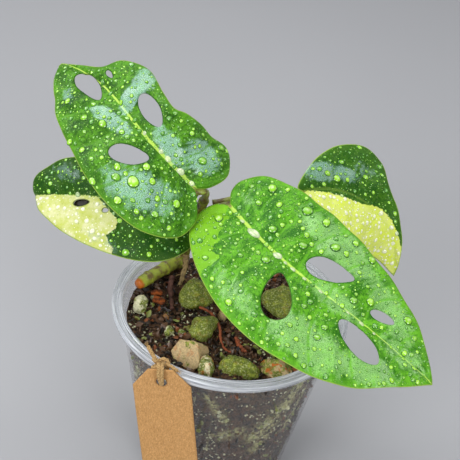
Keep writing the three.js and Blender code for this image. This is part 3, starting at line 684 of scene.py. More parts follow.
def blade_points(leaf, x, y, lift):
    """Points of a blade at x along its midrib and y across, lifted off its middle surface."""
    x, y = np.asarray(x, float), np.asarray(y, float)
    steps = np.linspace(0, 1, RIB_STEPS + 1)
    tangent = frame_at(leaf, steps)[0]
    rib = np.zeros((RIB_STEPS + 1, 3))
    rib[1:] = np.cumsum((tangent[1:] + tangent[:-1]) * leaf["length"] / (2 * RIB_STEPS), axis=0)
    rib += np.array(leaf["base"], float)
    along = np.clip(x / leaf["length"], 0, 1)
    tangent, side, normal = frame_at(leaf, along)
    point = np.stack([np.interp(along, steps, rib[:, k]) for k in range(3)], -1)
    point += tangent * (np.minimum(x, 0) + np.maximum(x - leaf["length"], 0))[..., None]
    half = np.where(y > 0, 0, 1)
    fold = np.radians(np.array(leaf["fold"], float))[half]
    curve = np.radians(np.array(leaf["cup"], float))[half] / HALF_WIDTH
    reach = np.abs(y)
    across = np.sign(y) * (np.sin(fold + curve * reach) - np.sin(fold)) / curve
    up = (np.cos(fold) - np.cos(fold + curve * reach)) / curve
    slope = np.sign(y) * (fold + curve * reach)
    point += side * across[..., None] + normal * up[..., None]
    return point + (normal * np.cos(slope)[..., None] - side * np.sin(slope)[..., None]) * lift[..., None]


def outline_side(leaf, key, count):
    """One side of the outline from base to tip, evenly spaced, as the solid's own curve runs."""
    p = np.array([(0, 0), *leaf[key], (leaf["length"], 0)], float)
    last = len(p) - 1
    s = np.linspace(0, last, 60 * last + 1)
    i = np.minimum(s.astype(int), last - 1)
    t = (s - i)[:, None]
    a, b, c, d = p[np.maximum(i - 1, 0)], p[i], p[i + 1], p[np.minimum(i + 2, last)]
    v0, v1 = (c - a) / 2, (d - b) / 2
    fine = (2 * b - 2 * c + v0 + v1) * t ** 3 + (3 * c - 3 * b - 2 * v0 - v1) * t ** 2 + v0 * t + b
    run = np.concatenate([[0], np.cumsum(np.linalg.norm(np.diff(fine, axis=0), axis=1))])
    wanted = np.linspace(0, run[-1], count)
    return np.stack([np.interp(wanted, run, fine[:, k]) for k in range(2)], -1)


def hole_ring(hole, count):
    """The ring of an egg-shaped hole."""
    x0, y0, long, wide, turn, egg = hole
    angle = round_angles(count)
    x = long * np.cos(angle)
    y = wide * np.sin(angle) * (1 + egg * np.cos(angle))
    c, s = math.cos(math.radians(turn)), math.sin(math.radians(turn))
    return np.stack([x0 + x * c - y * s, y0 + x * s + y * c], -1)


def inside(points, ring):
    """Which points lie inside a closed ring."""
    x, y = points[:, 0, None], points[:, 1, None]
    x1, y1 = ring[:, 0], ring[:, 1]
    x2, y2 = np.roll(x1, -1), np.roll(y1, -1)
    crosses = (y1 > y) != (y2 > y)
    at = x1 + (y - y1) * (x2 - x1) / np.where(y2 == y1, 1e-9, y2 - y1)
    return (crosses & (x < at)).sum(1) % 2 == 1


def within(points, rings):
    """Which points lie inside the first ring and outside the others."""
    keep = inside(points, rings[0])
    for hole in rings[1:]:
        keep &= ~inside(points, hole)
    return keep


def nearest_ring(points, rings):
    """Distance from each point to the nearest ring."""
    return np.min([distance_to(points, ring) for ring in rings], axis=0)


def fill_rings(rings, grid, spacing):
    """Points and upward triangles that fill the first ring outside the others."""
    grid = grid[within(grid, rings)]
    grid = grid[nearest_ring(grid, rings) > spacing * 0.5]
    edges, first = [], 0
    for ring in rings:
        edges += [(first + j, first + k) for j, k in round_pairs(len(ring))]
        first += len(ring)
    found = delaunay_2d_cdt([Vector(p) for p in np.vstack([*rings, grid])], edges, [], 0, TINY)
    points = np.array([v[:] for v in found[0]])
    triangles = np.array([face for face in found[2] if len(face) == 3])
    triangles = triangles[within(points[triangles].mean(1), rings)]
    a, b, c = (points[triangles[:, k]] for k in range(3))
    area = (b - a)[:, 0] * (c - a)[:, 1] - (b - a)[:, 1] * (c - a)[:, 0]
    triangles[area < 0] = triangles[area < 0][:, ::-1]
    return points, triangles[np.abs(area) > TINY]


def distance_to(points, ring, closed=True):
    """Distance from each point to a ring."""
    a = ring if closed else ring[:-1]
    b = np.roll(ring, -1, axis=0) if closed else ring[1:]
    best = np.full(len(points), 1e9)
    for start in range(0, len(a), 40):
        p, q = a[start:start + 40], b[start:start + 40]
        d = q - p
        t = ((points[:, None] - p) * d).sum(2) / ((d * d).sum(1) + 1e-12)
        gap = points[:, None] - p - d * np.clip(t, 0, 1)[..., None]
        best = np.minimum(best, np.sqrt((gap ** 2).sum(2)).min(1))
    return best


def fan_places(leaf, points):
    """For each point, which rib of the fan it lies on, from base 0 to tip 1, and how far out, 0 to 1."""
    where, out = np.zeros(len(points)), np.zeros(len(points))
    for sign, key in ((1, "left"), (-1, "right")):
        mine = points[:, 1] >= 0 if sign > 0 else points[:, 1] < 0
        if not mine.any():
            continue
        edge = outline_side(leaf, key, FAN_RIBS + 1)
        share_of = np.linspace(0, 1, FAN_RIBS + 1)
        root = np.stack([leaf["length"] * share_of ** 1.5, 0 * share_of], -1)
        d = (edge - root)[1:-1]
        p = points[mine][:, None] - root[1:-1]
        turned = (d[:, 0] * p[..., 1] - d[:, 1] * p[..., 0]) * sign
        passed = np.clip((turned < 0).sum(1) - 1, 0, len(d) - 2)
        rows = np.arange(len(passed))
        low, high = turned[rows, passed], turned[rows, passed + 1]
        t = np.clip(low / np.where(low == high, 1e-9, low - high), 0, 1)
        at = (passed + 1 + t) / FAN_RIBS
        where[mine] = at
        span = np.stack([np.interp(at, share_of, edge[:, k]) for k in range(2)], -1)
        foot = np.stack([leaf["length"] * at ** 1.5, 0 * at], -1)
        long = np.linalg.norm(span - foot, axis=1) + 1e-6
        out[mine] = np.clip(np.linalg.norm(points[mine] - foot, axis=1) / long, 0, 1)
    return where, out


def vein_places(leaf, points):
    """The fan's places, and the distance in millimetres to the nearest side vein."""
    where, out = fan_places(leaf, points)
    bowed = where + 0.035 * np.sin(np.pi * out) - 0.02
    phase = bowed * leaf["veins"]
    nearest = np.abs(phase - np.round(phase))
    return where, out, nearest * leaf["length"] * 1.15 / leaf["veins"], phase


def relief(leaf, points, where, out, vein, phase):
    """Height of the quilting between veins, the sunk veins and midrib, and the waving margin."""
    fade = np.sin(np.pi * np.clip(out, 0, 1)) ** 0.7
    quilt = leaf["quilt"] * (0.5 - 0.5 * np.cos(2 * np.pi * phase)) * fade
    sunk = -0.3 * np.exp(-(vein / 0.7) ** 2) * (1 - out) ** 0.5 - 0.45 * np.exp(-(points[:, 1] / 0.9) ** 2)
    k = leaf["seed"]
    wave = 0.5 * out ** 3 * (np.sin(where * 21 + k) + 0.6 * np.sin(where * 47 + 2 * k))
    lump = 0.22 * np.sin(points[:, 0] * 0.55 + k) * np.sin(points[:, 1] * 0.7 - k)
    return quilt + sunk + wave + lump * fade


def signed_pale(leaf, points):
    """Distance into the pale part of a blade, negative outside it."""
    if not leaf["pale"]:
        return np.full(len(points), -9.0)
    ring = np.array(leaf["pale"], float)
    return np.where(inside(points, ring), 1, -1) * np.minimum(distance_to(points, ring), 9)


def painted_sheen_places(leaf, points):
    """How strong the painted sheen is at a place, which also sets the coat gloss: 1 in the middle of a patch
    and 0 well outside it.
    """
    best = np.zeros(len(points))
    for x0, y0, long, wide, turn, strength in leaf["film"]:
        c, s = math.cos(math.radians(turn)), math.sin(math.radians(turn))
        x, y = points[:, 0] - x0, points[:, 1] - y0
        reach = np.hypot((x * c + y * s) / long, (y * c - x * s) / wide)
        best = np.maximum(best, strength * np.clip(1.4 - reach, 0, 1))
    return best


def plan_blade(leaf, spacing):
    """Points and triangles of a blade's plan, and the rings of its margin and holes."""
    long = leaf["length"]
    left = outline_side(leaf, "left", int(long * 1.9))
    right = outline_side(leaf, "right", int(long * 1.9))
    ring = np.vstack([left, right[-2:0:-1]])
    rings = [ring, *(hole_ring(h, max(16, int(4.4 * (h[2] + h[3])))) for h in leaf["holes"])]
    rib_line = np.arange(0.8, long - 0.8, spacing)
    rib_line = np.stack([rib_line, 0 * rib_line], -1)
    rows = np.arange(ring[:, 1].min(), ring[:, 1].max(), spacing * 0.866)
    columns = np.arange(ring[:, 0].min(), ring[:, 0].max(), spacing)
    gx, gy = np.meshgrid(columns, rows)
    gx = gx + (np.arange(len(rows)) % 2)[:, None] * spacing / 2
    grid = np.stack([gx.ravel(), gy.ravel()], -1)
    grid = np.vstack([grid[np.abs(grid[:, 1]) > spacing * 0.6], rib_line])
    return (*fill_rings(rings, grid, spacing), rings)


def add_blade(shape, leaf, spacing, thickness):
    """A blade with a raised midrib below, closed round its margin and holes."""
    points, triangles, rings = plan_blade(leaf, spacing)
    rim = nearest_ring(points, rings)
    where, out, vein, phase = vein_places(leaf, points)
    high = relief(leaf, points, where, out, vein, phase)
    half = thickness / 2 * (1 - 0.55 * np.exp(-(rim / 0.35) ** 2))
    x, y = points.T
    taper = 1 - 0.75 * np.clip(x / leaf["length"], 0, 1)
    ridge = 0.9 * taper * np.exp(-(y / 0.9) ** 2) + 0.25 * np.exp(-(vein / 0.6) ** 2) * (1 - out)
    upper = blade_points(leaf, x, y, high + half)
    lower = blade_points(leaf, x, y, high - half - ridge * np.clip(rim, 0, 1))
    values = {
        "blade": np.stack([x, y, 0 * x], -1),
        "fan": np.stack([where * leaf["length"], out * 25 * np.sign(y), 0 * x], -1),
        "vein": vein, "rim": rim, "hem": distance_to(points, rings[0]),
        "pale": signed_pale(leaf, points), "film": painted_sheen_places(leaf, points),
    }
    both = {name: np.concatenate([value, value]) for name, value in values.items()}
    shape.add(np.vstack([upper, lower]), sheet_faces(triangles, len(points)),
              under=np.repeat([0.0, 1.0], len(points)), **both)


def add_shade_sheet(shape, leaf, hole):
    """A near-black sheet that closes a small hole, thin and a little sunk, standing in for the shade seen
    through the hole.
    """
    sides = 24
    ring = hole_ring((*hole[:2], hole[2] + 0.15, hole[3] + 0.15, *hole[4:]), sides)
    plan = np.vstack([ring, ring * 0.5 + np.array(hole[:2]) * 0.5, [hole[:2]]])
    lift = np.concatenate([np.full(sides, -0.1), np.full(sides, -0.3), [-0.25]])
    upper = blade_points(leaf, *plan.T, lift)
    lower = blade_points(leaf, *plan.T, lift - 0.12)
    top = ring_faces(2, sides) + end_faces(2 * sides, sides, sides, turned=True)
    shape.add(np.vstack([upper, lower]), sheet_faces(top, len(plan)), scar=1.0)


def blade_group(s):
    """Marbling, veins, midrib, pale sectors and pale margin of a blade from its own plan, with painted sheen
    on patches that also carry the coat gloss, painted glints on specks of fine water, and a near-black sheet
    in a hole that stands in for the shade seen through it.
    """
    tree, w, given, result = make_group(
        "vine blade", {"Deep": "colour", "Light": "colour", "Pale": "colour", "Pale light": "colour",
                       "Film": "colour", "Flecks": "value", "Rib": "value"},
        {"Color": "colour", "Roughness": "value", "Coat": "value", "Height": "value"})
    spot, fan = w.vector("blade"), w.vector("fan")
    stretched = w.stretch(fan, (0.3, 0.1, 0.0))
    streaks = w.noise(stretched, 1.0, 4.0, 0.62, 0.5)
    blotch = w.noise(spot, 0.12, 5.0, 0.65, 0.8)
    grains = w.noise(spot, 2.6, 3.0, 0.65)
    tone = w.plus(w.times(streaks, 0.5), w.times(blotch, 0.5))
    green = w.blend(w.step(tone, 0.4, 0.6), given["Deep"], given["Light"])
    green = w.blend(w.step(w.noise(spot, 0.9, 4.0, 0.72), 0.48, 0.6, 0.0, 0.75), green, given["Deep"])
    green = w.blend(w.step(grains, 0.48, 0.64, 0.0, 0.5), green, given["Light"])
    green = w.blend(w.step(w.noise(spot, 4.2, 2.0, 0.6), 0.52, 0.66, 0.0, 0.6), green, given["Deep"])
    rim, hem = w.value("rim"), w.value("hem")
    green = w.blend(w.step(hem, 4.0, 0.0, 0.0, 0.5), green, given["Light"])
    green = w.blend(w.step(w.value("vein"), 0.9, 0.1, 0.0, 0.55), green, given["Light"])
    uneven = w.times(w.math("SUBTRACT", w.noise(spot, 0.8, 3.0), 0.5), 2.0)
    ragged = w.plus(w.value("pale"), uneven)
    inside_pale = w.step(ragged, -0.15, 0.2)
    wash = w.blend(w.step(w.noise(spot, 0.2, 5.0, 0.7), 0.32, 0.78), given["Pale"], given["Pale light"])
    fleck = w.times(w.step(w.noise(stretched, 3.2, 3.0, 0.7), 0.6, 0.7), given["Flecks"])
    wash = w.blend(fleck, wash, given["Light"])
    tint = w.blend(inside_pale, green, wash)
    along = w.add("SeparateXYZ", {0: spot})
    reach = w.math("ABSOLUTE", w.add("SeparateXYZ", {0: spot}, out=1))
    width = w.times(w.step(along, -4.0, 80.0, 1.0, 0.25), w.plus(w.noise(spot, 0.5, 2.0), 0.3))
    ribbed = w.step(w.math("DIVIDE", reach, width), 1.1, 0.6)
    tint = w.blend(w.times(ribbed, given["Rib"]), tint, s.rib)
    tint = w.blend(w.step(rim, 0.45, 0.1, 0.0, 0.7), tint, given["Deep"])
    tint = w.blend(w.step(hem, 0.4, 0.1, 0.0, 0.6), tint, s.rib)
    # Painted sheen: a pale bluish colour painted into the patches, speckled and kept weaker on the veins; the
    # same mask raises the coat gloss.
    veined = w.noise(stretched, 2.0, 3.0, 0.6)
    wet_gloss_and_painted_sheen = w.plus(w.value("film"), w.times(w.math("SUBTRACT", veined, 0.5), 1.1))
    wet_gloss_and_painted_sheen = w.times(w.step(wet_gloss_and_painted_sheen, 0.24, 0.6), w.step(w.value("vein"), 0.15, 0.7, 0.25))
    specks = w.noise(spot, 3.4, 2.0, 0.7)
    wet_gloss_and_painted_sheen = w.times(wet_gloss_and_painted_sheen, w.step(specks, 0.42, 0.56, 0.12))
    tint = w.blend(w.times(wet_gloss_and_painted_sheen, 0.7), tint, given["Film"])
    # Painted glints: pale specks painted where fine water catches the light; the specks also raise the bump.
    misty = w.step(w.noise(spot, 0.35, 2.0), 0.4, 0.6, 0.2)
    mist_with_painted_glints = w.times(w.step(w.cells(spot, 1.15), 0.24, 0.1), misty)
    tint = w.blend(w.times(mist_with_painted_glints, 0.5), tint, s.mist_with_painted_glints)
    # The sheet that closes a hole is painted near-black as the shade seen through it.
    tint = w.blend(w.value("scar"), tint, (0.012, 0.009, 0.005))
    below = w.blend(w.times(inside_pale, 0.8), s.under, s.cream)
    below = w.blend(w.times(ribbed, 0.6), below, s.rib)
    w.feed(result["Color"], w.blend(w.value("under"), tint, below))
    gloss = w.step(w.noise(spot, 1.4, 3.0), 0.35, 0.7, 0.3, 0.5)
    w.feed(result["Roughness"], w.plus(gloss, w.times(w.value("under"), 0.2)))
    above = w.math("SUBTRACT", 1.0, w.value("under"))
    w.feed(result["Coat"], w.times(above, w.plus(w.times(wet_gloss_and_painted_sheen, 0.95), 0.04)))
    rough = w.plus(w.times(grains, 0.7), w.times(specks, 0.5))
    w.feed(result["Height"], w.plus(rough, mist_with_painted_glints))
    return tree


def blade_material(name, group, deep, light, pale, pale_light, film, flecks, rib):
    made, w, shader = start_material(name, specular_ior_level=0.14, coat_roughness=0.2)
    parts = w.group(group, {"Deep": deep, "Light": light, "Pale": pale, "Pale light": pale_light,
                            "Film": film, "Flecks": flecks, "Rib": rib})
    paint(w, shader, parts["Color"], parts["Height"], 0.00018, 0.7)
    w.feed(shader.inputs["Roughness"], parts["Roughness"])
    w.feed(shader.inputs["Coat Weight"], parts["Coat"])
    return made


class VINE_OT_leaves(bpy.types.Operator):
    """Four thin blades with quilting, holes, veins and marbled green and cream"""
    bl_idname = "vine.leaves"
    bl_label = "Leaves"

    def execute(self, context):
        s = context.scene.vine_leaf
        group = blade_group(s)
        looks = {
            # The fifth colour of each look is its painted sheen.
            "leaf_1": (dim(s.deep, 0.26), dim(s.light, 0.58), s.light, s.light, s.film, 0.0, 0.9),
            "leaf_2": (dim(s.deep, 0.5), dim(s.light, 0.8), dim(s.lime, 0.65), dim(s.lime, 0.85),
                       s.sheen, 0.5, 0.9),
            "leaf_3": (dim(s.deep, 0.25), dim(s.light, 0.2), dim(s.yellow, 0.85), s.cream,
                       dim(s.film, 0.5), 0.35, 0.2),
            "leaf_4": (dim(s.deep, 0.3), dim(s.light, 0.3), s.butter, between(s.butter, s.cream),
                       dim(s.film, 0.8), 0.35, 0.15),
        }
        for name, leaf in LEAVES.items():
            shape = Shape()
            add_blade(shape, leaf, s.grid / MM, s.thickness / MM)
            # These holes are closed by near-black sheets that stand in for the shade seen through them.
            for hole in leaf.get("scars", []):
                add_shade_sheet(shape, leaf, hole)
            piece = shape.build(name + "_blade", blade_material(name + "_skin", group, *looks[name]))
            finish_piece(piece, "leaf_blade", name)
        return {"FINISHED"}


# Water


def add_drop(shape, leaf, x, y, radius, thickness, tone, stretch=1.0, pale=None):
    """One domed drop that sits on the blade's upper face."""
    sides = 16 if radius > 1 else 12 if radius > 0.5 else 8
    rings = [1.0, 0.985, 0.93, 0.8, 0.55, 0.25] if radius > 0.5 else [1.0, 0.95, 0.72, 0.35]
    angle = round_angles(sides)
    uneven = 1 + 0.07 * np.cos(2 * angle + tone * 9) + 0.04 * np.cos(3 * angle - tone * 5)
    high = radius * (0.62 if radius < 0.7 else 0.5)
    edge = np.append(np.repeat(rings, sides), 0)
    around = np.append(np.outer(rings, uneven), 0)
    angle = np.append(np.tile(angle, len(rings)), 0)
    px = x + radius * stretch * around * np.cos(angle)
    py = y + radius * around * np.sin(angle)
    spots = np.stack([px, py], -1)
    dome = high * np.sqrt(np.maximum(0, 1 - edge ** 2)) - 0.04
    lift = relief(leaf, spots, *vein_places(leaf, spots)) + thickness / 2 + dome
    points = blade_points(leaf, px, py, lift)
    top = len(rings) * sides
    faces = ring_faces(len(rings), sides) + end_faces(top, top - sides, sides, turned=True)
    faces.append(tuple(range(sides))[::-1])
    if pale is None:
        pale = float(np.clip(signed_pale(leaf, np.array([[x, y]]))[0] + 0.5, 0, 1)) * leaf["creamy"]
    shape.add(points, faces, edge=edge, pale=pale, tone=tone)


def strewn_drops(leaf, count, taken, random):
    """Places and radii of small drops that keep clear of the margin, the holes and each other."""
    rings = [np.vstack([outline_side(leaf, "left", 90), outline_side(leaf, "right", 90)[-2:0:-1]])]
    rings += [hole_ring(h, 24) for h in leaf["holes"]]
    low, high = rings[0].min(0), rings[0].max(0)
    tries = random.uniform(low, high, (count * 5, 2))
    sizes = 0.26 + 0.85 * random.random(count * 5) ** 2.6
    good = within(tries, rings) & (nearest_ring(tries, rings) > sizes + 0.25)
    kept = [tuple(t) for t in taken]
    fresh = []
    for (x, y), r in zip(tries[good], sizes[good]):
        if len(fresh) >= count:
            break
        if all((x - a) ** 2 + (y - b) ** 2 > (r + c + 0.15) ** 2 for a, b, c in kept):
            kept.append((x, y, r))
            fresh.append((x, y, r))
    return fresh


def water_material(s):
    made, w, shader = start_material("vine_water", roughness=0.04, specular_ior_level=0.6, coat_weight=0.6,
                                     coat_roughness=0.02)
    edge, pale, tone = w.value("edge"), w.value("pale"), w.value("tone")
    # A drop is painted from dull to bright at random, and its centre paler, as a painted highlight of the
    # light it gathers.
    green = w.blend(w.step(tone, 0.3, 1.0), s.leafy, s.green)
    green = w.blend(w.step(edge, 0.5, 0.1, 0.0, 0.28), green, s.pale)
    body = w.blend(pale, green, s.pale)
    # A painted dark rim round each drop stands in for the shade at its edge.
    dark = w.blend(w.times(pale, 0.8), s.edge, s.pale)
    w.feed(shader.inputs["Base Color"], w.blend(w.step(edge, 0.66, 0.94, 0.0, 0.95), body, dark))
    return made


class VINE_OT_drops(bpy.types.Operator):
    """Water drops that lie on the upper faces of the leaves"""
    bl_idname = "vine.drops"
    bl_label = "Water drops"

    def execute(self, context):
        s = context.scene.vine_water
        material = water_material(s)
        thickness = context.scene.vine_leaf.thickness / MM
        random = np.random.default_rng(7)
        for name, leaf in LEAVES.items():
            big = BIG_DROPS[name]
            room = leaf["length"] ** 2 / LEAVES["leaf_2"]["length"] ** 2
            ribbed = [(x, RIB_DROP_SIDE, r * stretch) for x, r, stretch in RIB_DROPS.get(name, [])]
            small = strewn_drops(leaf, int(s.strewn * room), [*big, *ribbed], random)
            shape = Shape()
            for x, y, r in big:
                add_drop(shape, leaf, x, y, r * 1.12, thickness, random.uniform(0.55, 1))
            for x, y, r in small:
                add_drop(shape, leaf, x, y, r, thickness, random.random())
            for x, r, stretch in RIB_DROPS.get(name, []):
                add_drop(shape, leaf, x, RIB_DROP_SIDE, r, thickness, random.random(), stretch, 0.55)
            finish_piece(shape.build("water_on_" + name, material), None)
        return {"FINISHED"}


# Stems, petioles and roots


def soil_height(x, y):
    """Height of the mix's surface."""
    waves = np.sin(0.23 * x + 0.9) * np.cos(0.19 * y - 0.4) + 0.6 * np.sin(0.37 * (x + y))
    return SOIL_LEVEL + 0.9 * waves - 2.2 * np.exp(-((x + 27) ** 2 + (y - 4) ** 2) / 160)


def stalk_material(name, main, dark, size, roughness, cut=(0.5, 0.2, 0.03)):
    made, w, shader = start_material(name, roughness=roughness, specular_ior_level=0.4)
    grain = grain_of(w, dark, main, size)
    ring = w.value("ring")
    tint = w.blend(w.times(grain["Mask"], 0.6), grain["Color"], main)
    tint = w.blend(ring, tint, dark)
    paint(w, shader, w.blend(w.value("cut"), tint, cut), grain["Height"], 0.0002, 0.5)
    return made


def bulges(*places):
    """A ripple that swells a tube at shares of its length."""
    def ripple(s, angle):
        swell = sum(high * np.exp(-((s - at) / width) ** 2) for at, high, width in places)
        return 1 + swell + 0.02 * np.cos(3 * angle + 9 * s) + 0 * angle
    return ripple


class VINE_OT_stems(bpy.types.Operator):
    """The old cutting, the young shoot and the four leaf stalks"""
    bl_idname = "vine.stems"
    bl_label = "Stems"

    def execute(self, context):
        s = context.scene.vine_stem
        green = stalk_material("vine_stem_skin", s.cutting, s.node, 3.0, 0.35, s.rust)
        stalk = stalk_material("petiole_skin", s.petiole, s.node, 2.4, 0.38)
        shape = Shape()
        path = smooth_path(CUTTING, 90)
        along = np.linspace(0, 1, 90)
        ring = sum(0.5 * np.exp(-((along - at) / (width * 0.5)) ** 2) for at, _, width in CUTTING_NODES)
        cut = along_tube(np.clip(2 - 36 * along, 0, 1), 28, 1)
        radii = CUTTING_RADIUS * (0.72 + 0.28 * np.clip(along * 12, 0, 1))
        add_tube(shape, path, radii, 28, ripple=bulges(*CUTTING_NODES), ring=along_tube(ring, 28), cut=cut)
        ring = sum(0.7 * np.exp(-((along - at) / 0.012) ** 2) for at, _, _ in SHOOT_NODES)
        add_tube(shape, smooth_path(SHOOT, 90), SHOOT_RADIUS, 24, ripple=bulges(*SHOOT_NODES),
                 ring=along_tube(ring, 24))
        finish_piece(shape.build("vine_stem_skinned", green), "vine_stem", "vine_stem")
        for number, (name, points) in enumerate(PETIOLES.items(), 1):
            leaf = LEAVES[name]
            tangent, _, normal = frame_at(leaf, np.array([0.0]))
            drop = BLADE_THICKNESS / 2 + BLADE_GAP + PETIOLE_RADIUS
            end = np.array(leaf["base"]) - normal[0] * drop - tangent[0]
            joint = np.array(leaf["base"]) - normal[0] * 0.5 + tangent[0] * 1.2
            path = smooth_path([*points, end, joint], 60)
            along = np.linspace(0, 1, 60)
            swell = 0.12 * np.exp(-((along - 0.86) / 0.06) ** 2)
            radii = PETIOLE_RADIUS * (1 + swell - 0.25 * (along > 0.97))
            shape = Shape()
            ring = along_tube(0.5 * np.exp(-(along / 0.05) ** 2), 18, 0.4)
            add_tube(shape, path, radii, 18, ripple=bulges((0.0, 0.2, 0.05)), ring=ring)
            finish_piece(shape.build(f"petiole_{number}_stalk", stalk), "petiole", f"petiole_{number}")
        return {"FINISHED"}


# Pot and mix


def wall_radius(z):
    """Inner radius of the pot at a height."""
    foot = FOOT_RADIUS - WALL
    return foot + (MOUTH_RADIUS - foot) * (z - WALL) / (POT_HEIGHT - WALL)


POT_PROFILE = [
    (0, 0), (26.6, 0), (27.6, 0.15), (28.4, 0.6), (29, 1.6), (41.55, 77.5), (41.75, 78.45), (42.1, 78.75),
    (43.7, 78.75), (44, 78.5), (44, 77.6), (44.2, 77.35), (44.6, 77.35), (44.82, 77.6), (45, 78.9),
    (44.98, 79.4), (44.8, 79.82), (44.45, 80), (44.1, 79.98), (43.8, 79.75), (43.5, 79.55),
    (42.5, 79.45), (42, 79.6), (41.7, 79.9), (41.4, 80), (41.1, 79.95), (40.85, 79.7), (28.2, 1.4),
    (27.8, 1.15), (0, 1.2),
]


def cylinder(radius, low, high, x, y):
    """An upright cylinder that cuts a hole."""
    shape = Shape()
    add_lathe(shape, [(0, low), (radius, low), (radius, high), (0, high)], 24)
    shape.points[0] = shape.points[0] + np.array([x, y, 0])
    return shape.build("cutter", None)


def plastic_material(s):
    made, w, shader = start_material("clear_pot", roughness=0.22, specular_ior_level=0.5)
    at = w.place()
    x, y, z = (w.add("SeparateXYZ", {0: at}, out=k) for k in range(3))
    around = w.math("ARCTAN2", y, x)
    reach = w.math("SQRT", w.plus(w.times(x, x), w.times(y, y)))
    on_rim = w.step(z, 77.0, 77.5)
    ringed = w.add("CombineXYZ", {0: w.times(around, 3.0), 1: w.times(reach, 3.2), 2: z})
    upright = w.add("CombineXYZ", {0: w.times(around, 22.0), 2: w.times(z, 0.035)})
    streak = w.add("Mix", {0: on_rim, 2: w.noise(upright, 1.0, 4.0, 0.6), 3: w.noise(ringed, 1.0, 4.0, 0.6)})
    cover = w.add("Mix", {0: on_rim, 2: s.wall * 0.5, 3: s.rim})
    tint = w.blend(w.step(streak, 0.35, 0.7), dim(s.plastic, 0.8), (0.95, 0.97, 1.0))
    w.feed(shader.inputs["Base Color"], tint)
    w.feed(shader.inputs["Alpha"], w.times(cover, w.step(streak, 0.3, 0.75, 0.7, 1.3)))
    gloss = w.tree.nodes.new("ShaderNodeBsdfGlossy")
    gloss.inputs["Roughness"].default_value = 0.14
    gloss.inputs["Color"].default_value = (1, 1, 1, 1)
    mixed = w.tree.nodes.new("ShaderNodeMixShader")
    w.feed(mixed.inputs[0], w.times(w.add("Fresnel", {"IOR": 1.4}), 0.35))
    w.tree.links.new(shader.outputs[0], mixed.inputs[1])
    w.tree.links.new(gloss.outputs[0], mixed.inputs[2])
    target = next(n for n in w.tree.nodes if n.type == "OUTPUT_MATERIAL")
    w.tree.links.new(mixed.outputs[0], target.inputs[0])
    return made


class VINE_OT_pot(bpy.types.Operator):
    """The clear nursery pot with its beaded flange, skirt and holes"""
    bl_idname = "vine.pot"
    bl_label = "Pot"

    def execute(self, context):
        shape = Shape()
        add_lathe(shape, POT_PROFILE, 180)
        pot = shape.build("clear_pot_body", plastic_material(context.scene.vine_pot))
        cutters = [cylinder(DRAIN_RADIUS, -2, 4, DRAIN_CIRCLE * math.cos(a), DRAIN_CIRCLE * math.sin(a))
                   for a in round_angles(DRAIN_COUNT)]
        cutters.append(cylinder(TIE_HOLE_RADIUS, 76, 82, *TIE_HOLE))
        cut_with(pot, cutters)
        finish_piece(pot, "clear_plastic", "pot")
        return {"FINISHED"}


# Streaks of algae and roots against the wall: angle in degrees and height, with their width
STREAKS = [
    ([(-39.9, 67.7), (-48.8, 55.7), (-64.3, 43)], 1.9), ([(-97.1, 67.3), (-84.7, 54.2)], 0.7),
    ([(-74.9, 47.8), (-89, 44.2)], 1.1), ([(-52, 47), (-60, 34)], 1.3), ([(-30, 60), (-38, 40)], 1.0),
    ([(150, 66), (120, 50), (128, 32)], 1.5), ([(60, 60), (40, 38), (52, 20)], 1.4),
    ([(-150, 60), (-165, 35)], 1.2),
]

# Turns angles round the wall into millimetres along it
MEAN_WALL_RADIUS = 36


def near_streak(angle, z):
    """How deep a place on the wall lies in a streak, 1 in its middle and 0 outside."""
    flat = np.stack([angle * MEAN_WALL_RADIUS, z], -1)
    best = np.zeros(len(flat))
    for line, width in STREAKS:
        path = np.array([(math.radians(a) * MEAN_WALL_RADIUS, h) for a, h in line])
        gap = distance_to(flat, path, closed=False)
        best = np.maximum(best, np.exp(-(gap / (2.1 * width)) ** 2))
    return best


def fractal(points, size):
    """Uneven noise about 0 at each point, with lumps of the given size."""
    return np.array([noise.fractal(Vector(p), 0.8, 2.1, 4) for p in np.asarray(points) / size])


def crumb_forms(random):
    """Angular crumbs: the hulls of a few scattered points."""
    forms = []
    for _ in range(14):
        made = bmesh.new()
        for _ in range(11):
            p = random.normal(size=3)
            made.verts.new(Vector(p / np.linalg.norm(p) * random.uniform(0.75, 1)))
        found = bmesh.ops.convex_hull(made, input=made.verts)
        bmesh.ops.delete(made, geom=list(set(found["geom_interior"] + found["geom_unused"])), context="VERTS")
        made.verts.index_update()
        forms.append(points_and_faces(made))
    return forms


def turn_matrix(random):
    """A random turn."""
    q = random.normal(size=4)
    w, x, y, z = q / np.linalg.norm(q)
    return np.array([[1 - 2 * (y * y + z * z), 2 * (x * y - z * w), 2 * (x * z + y * w)],
                     [2 * (x * y + z * w), 1 - 2 * (x * x + z * z), 2 * (y * z - x * w)],
                     [2 * (x * z - y * w), 2 * (y * z + x * w), 1 - 2 * (x * x + y * y)]])


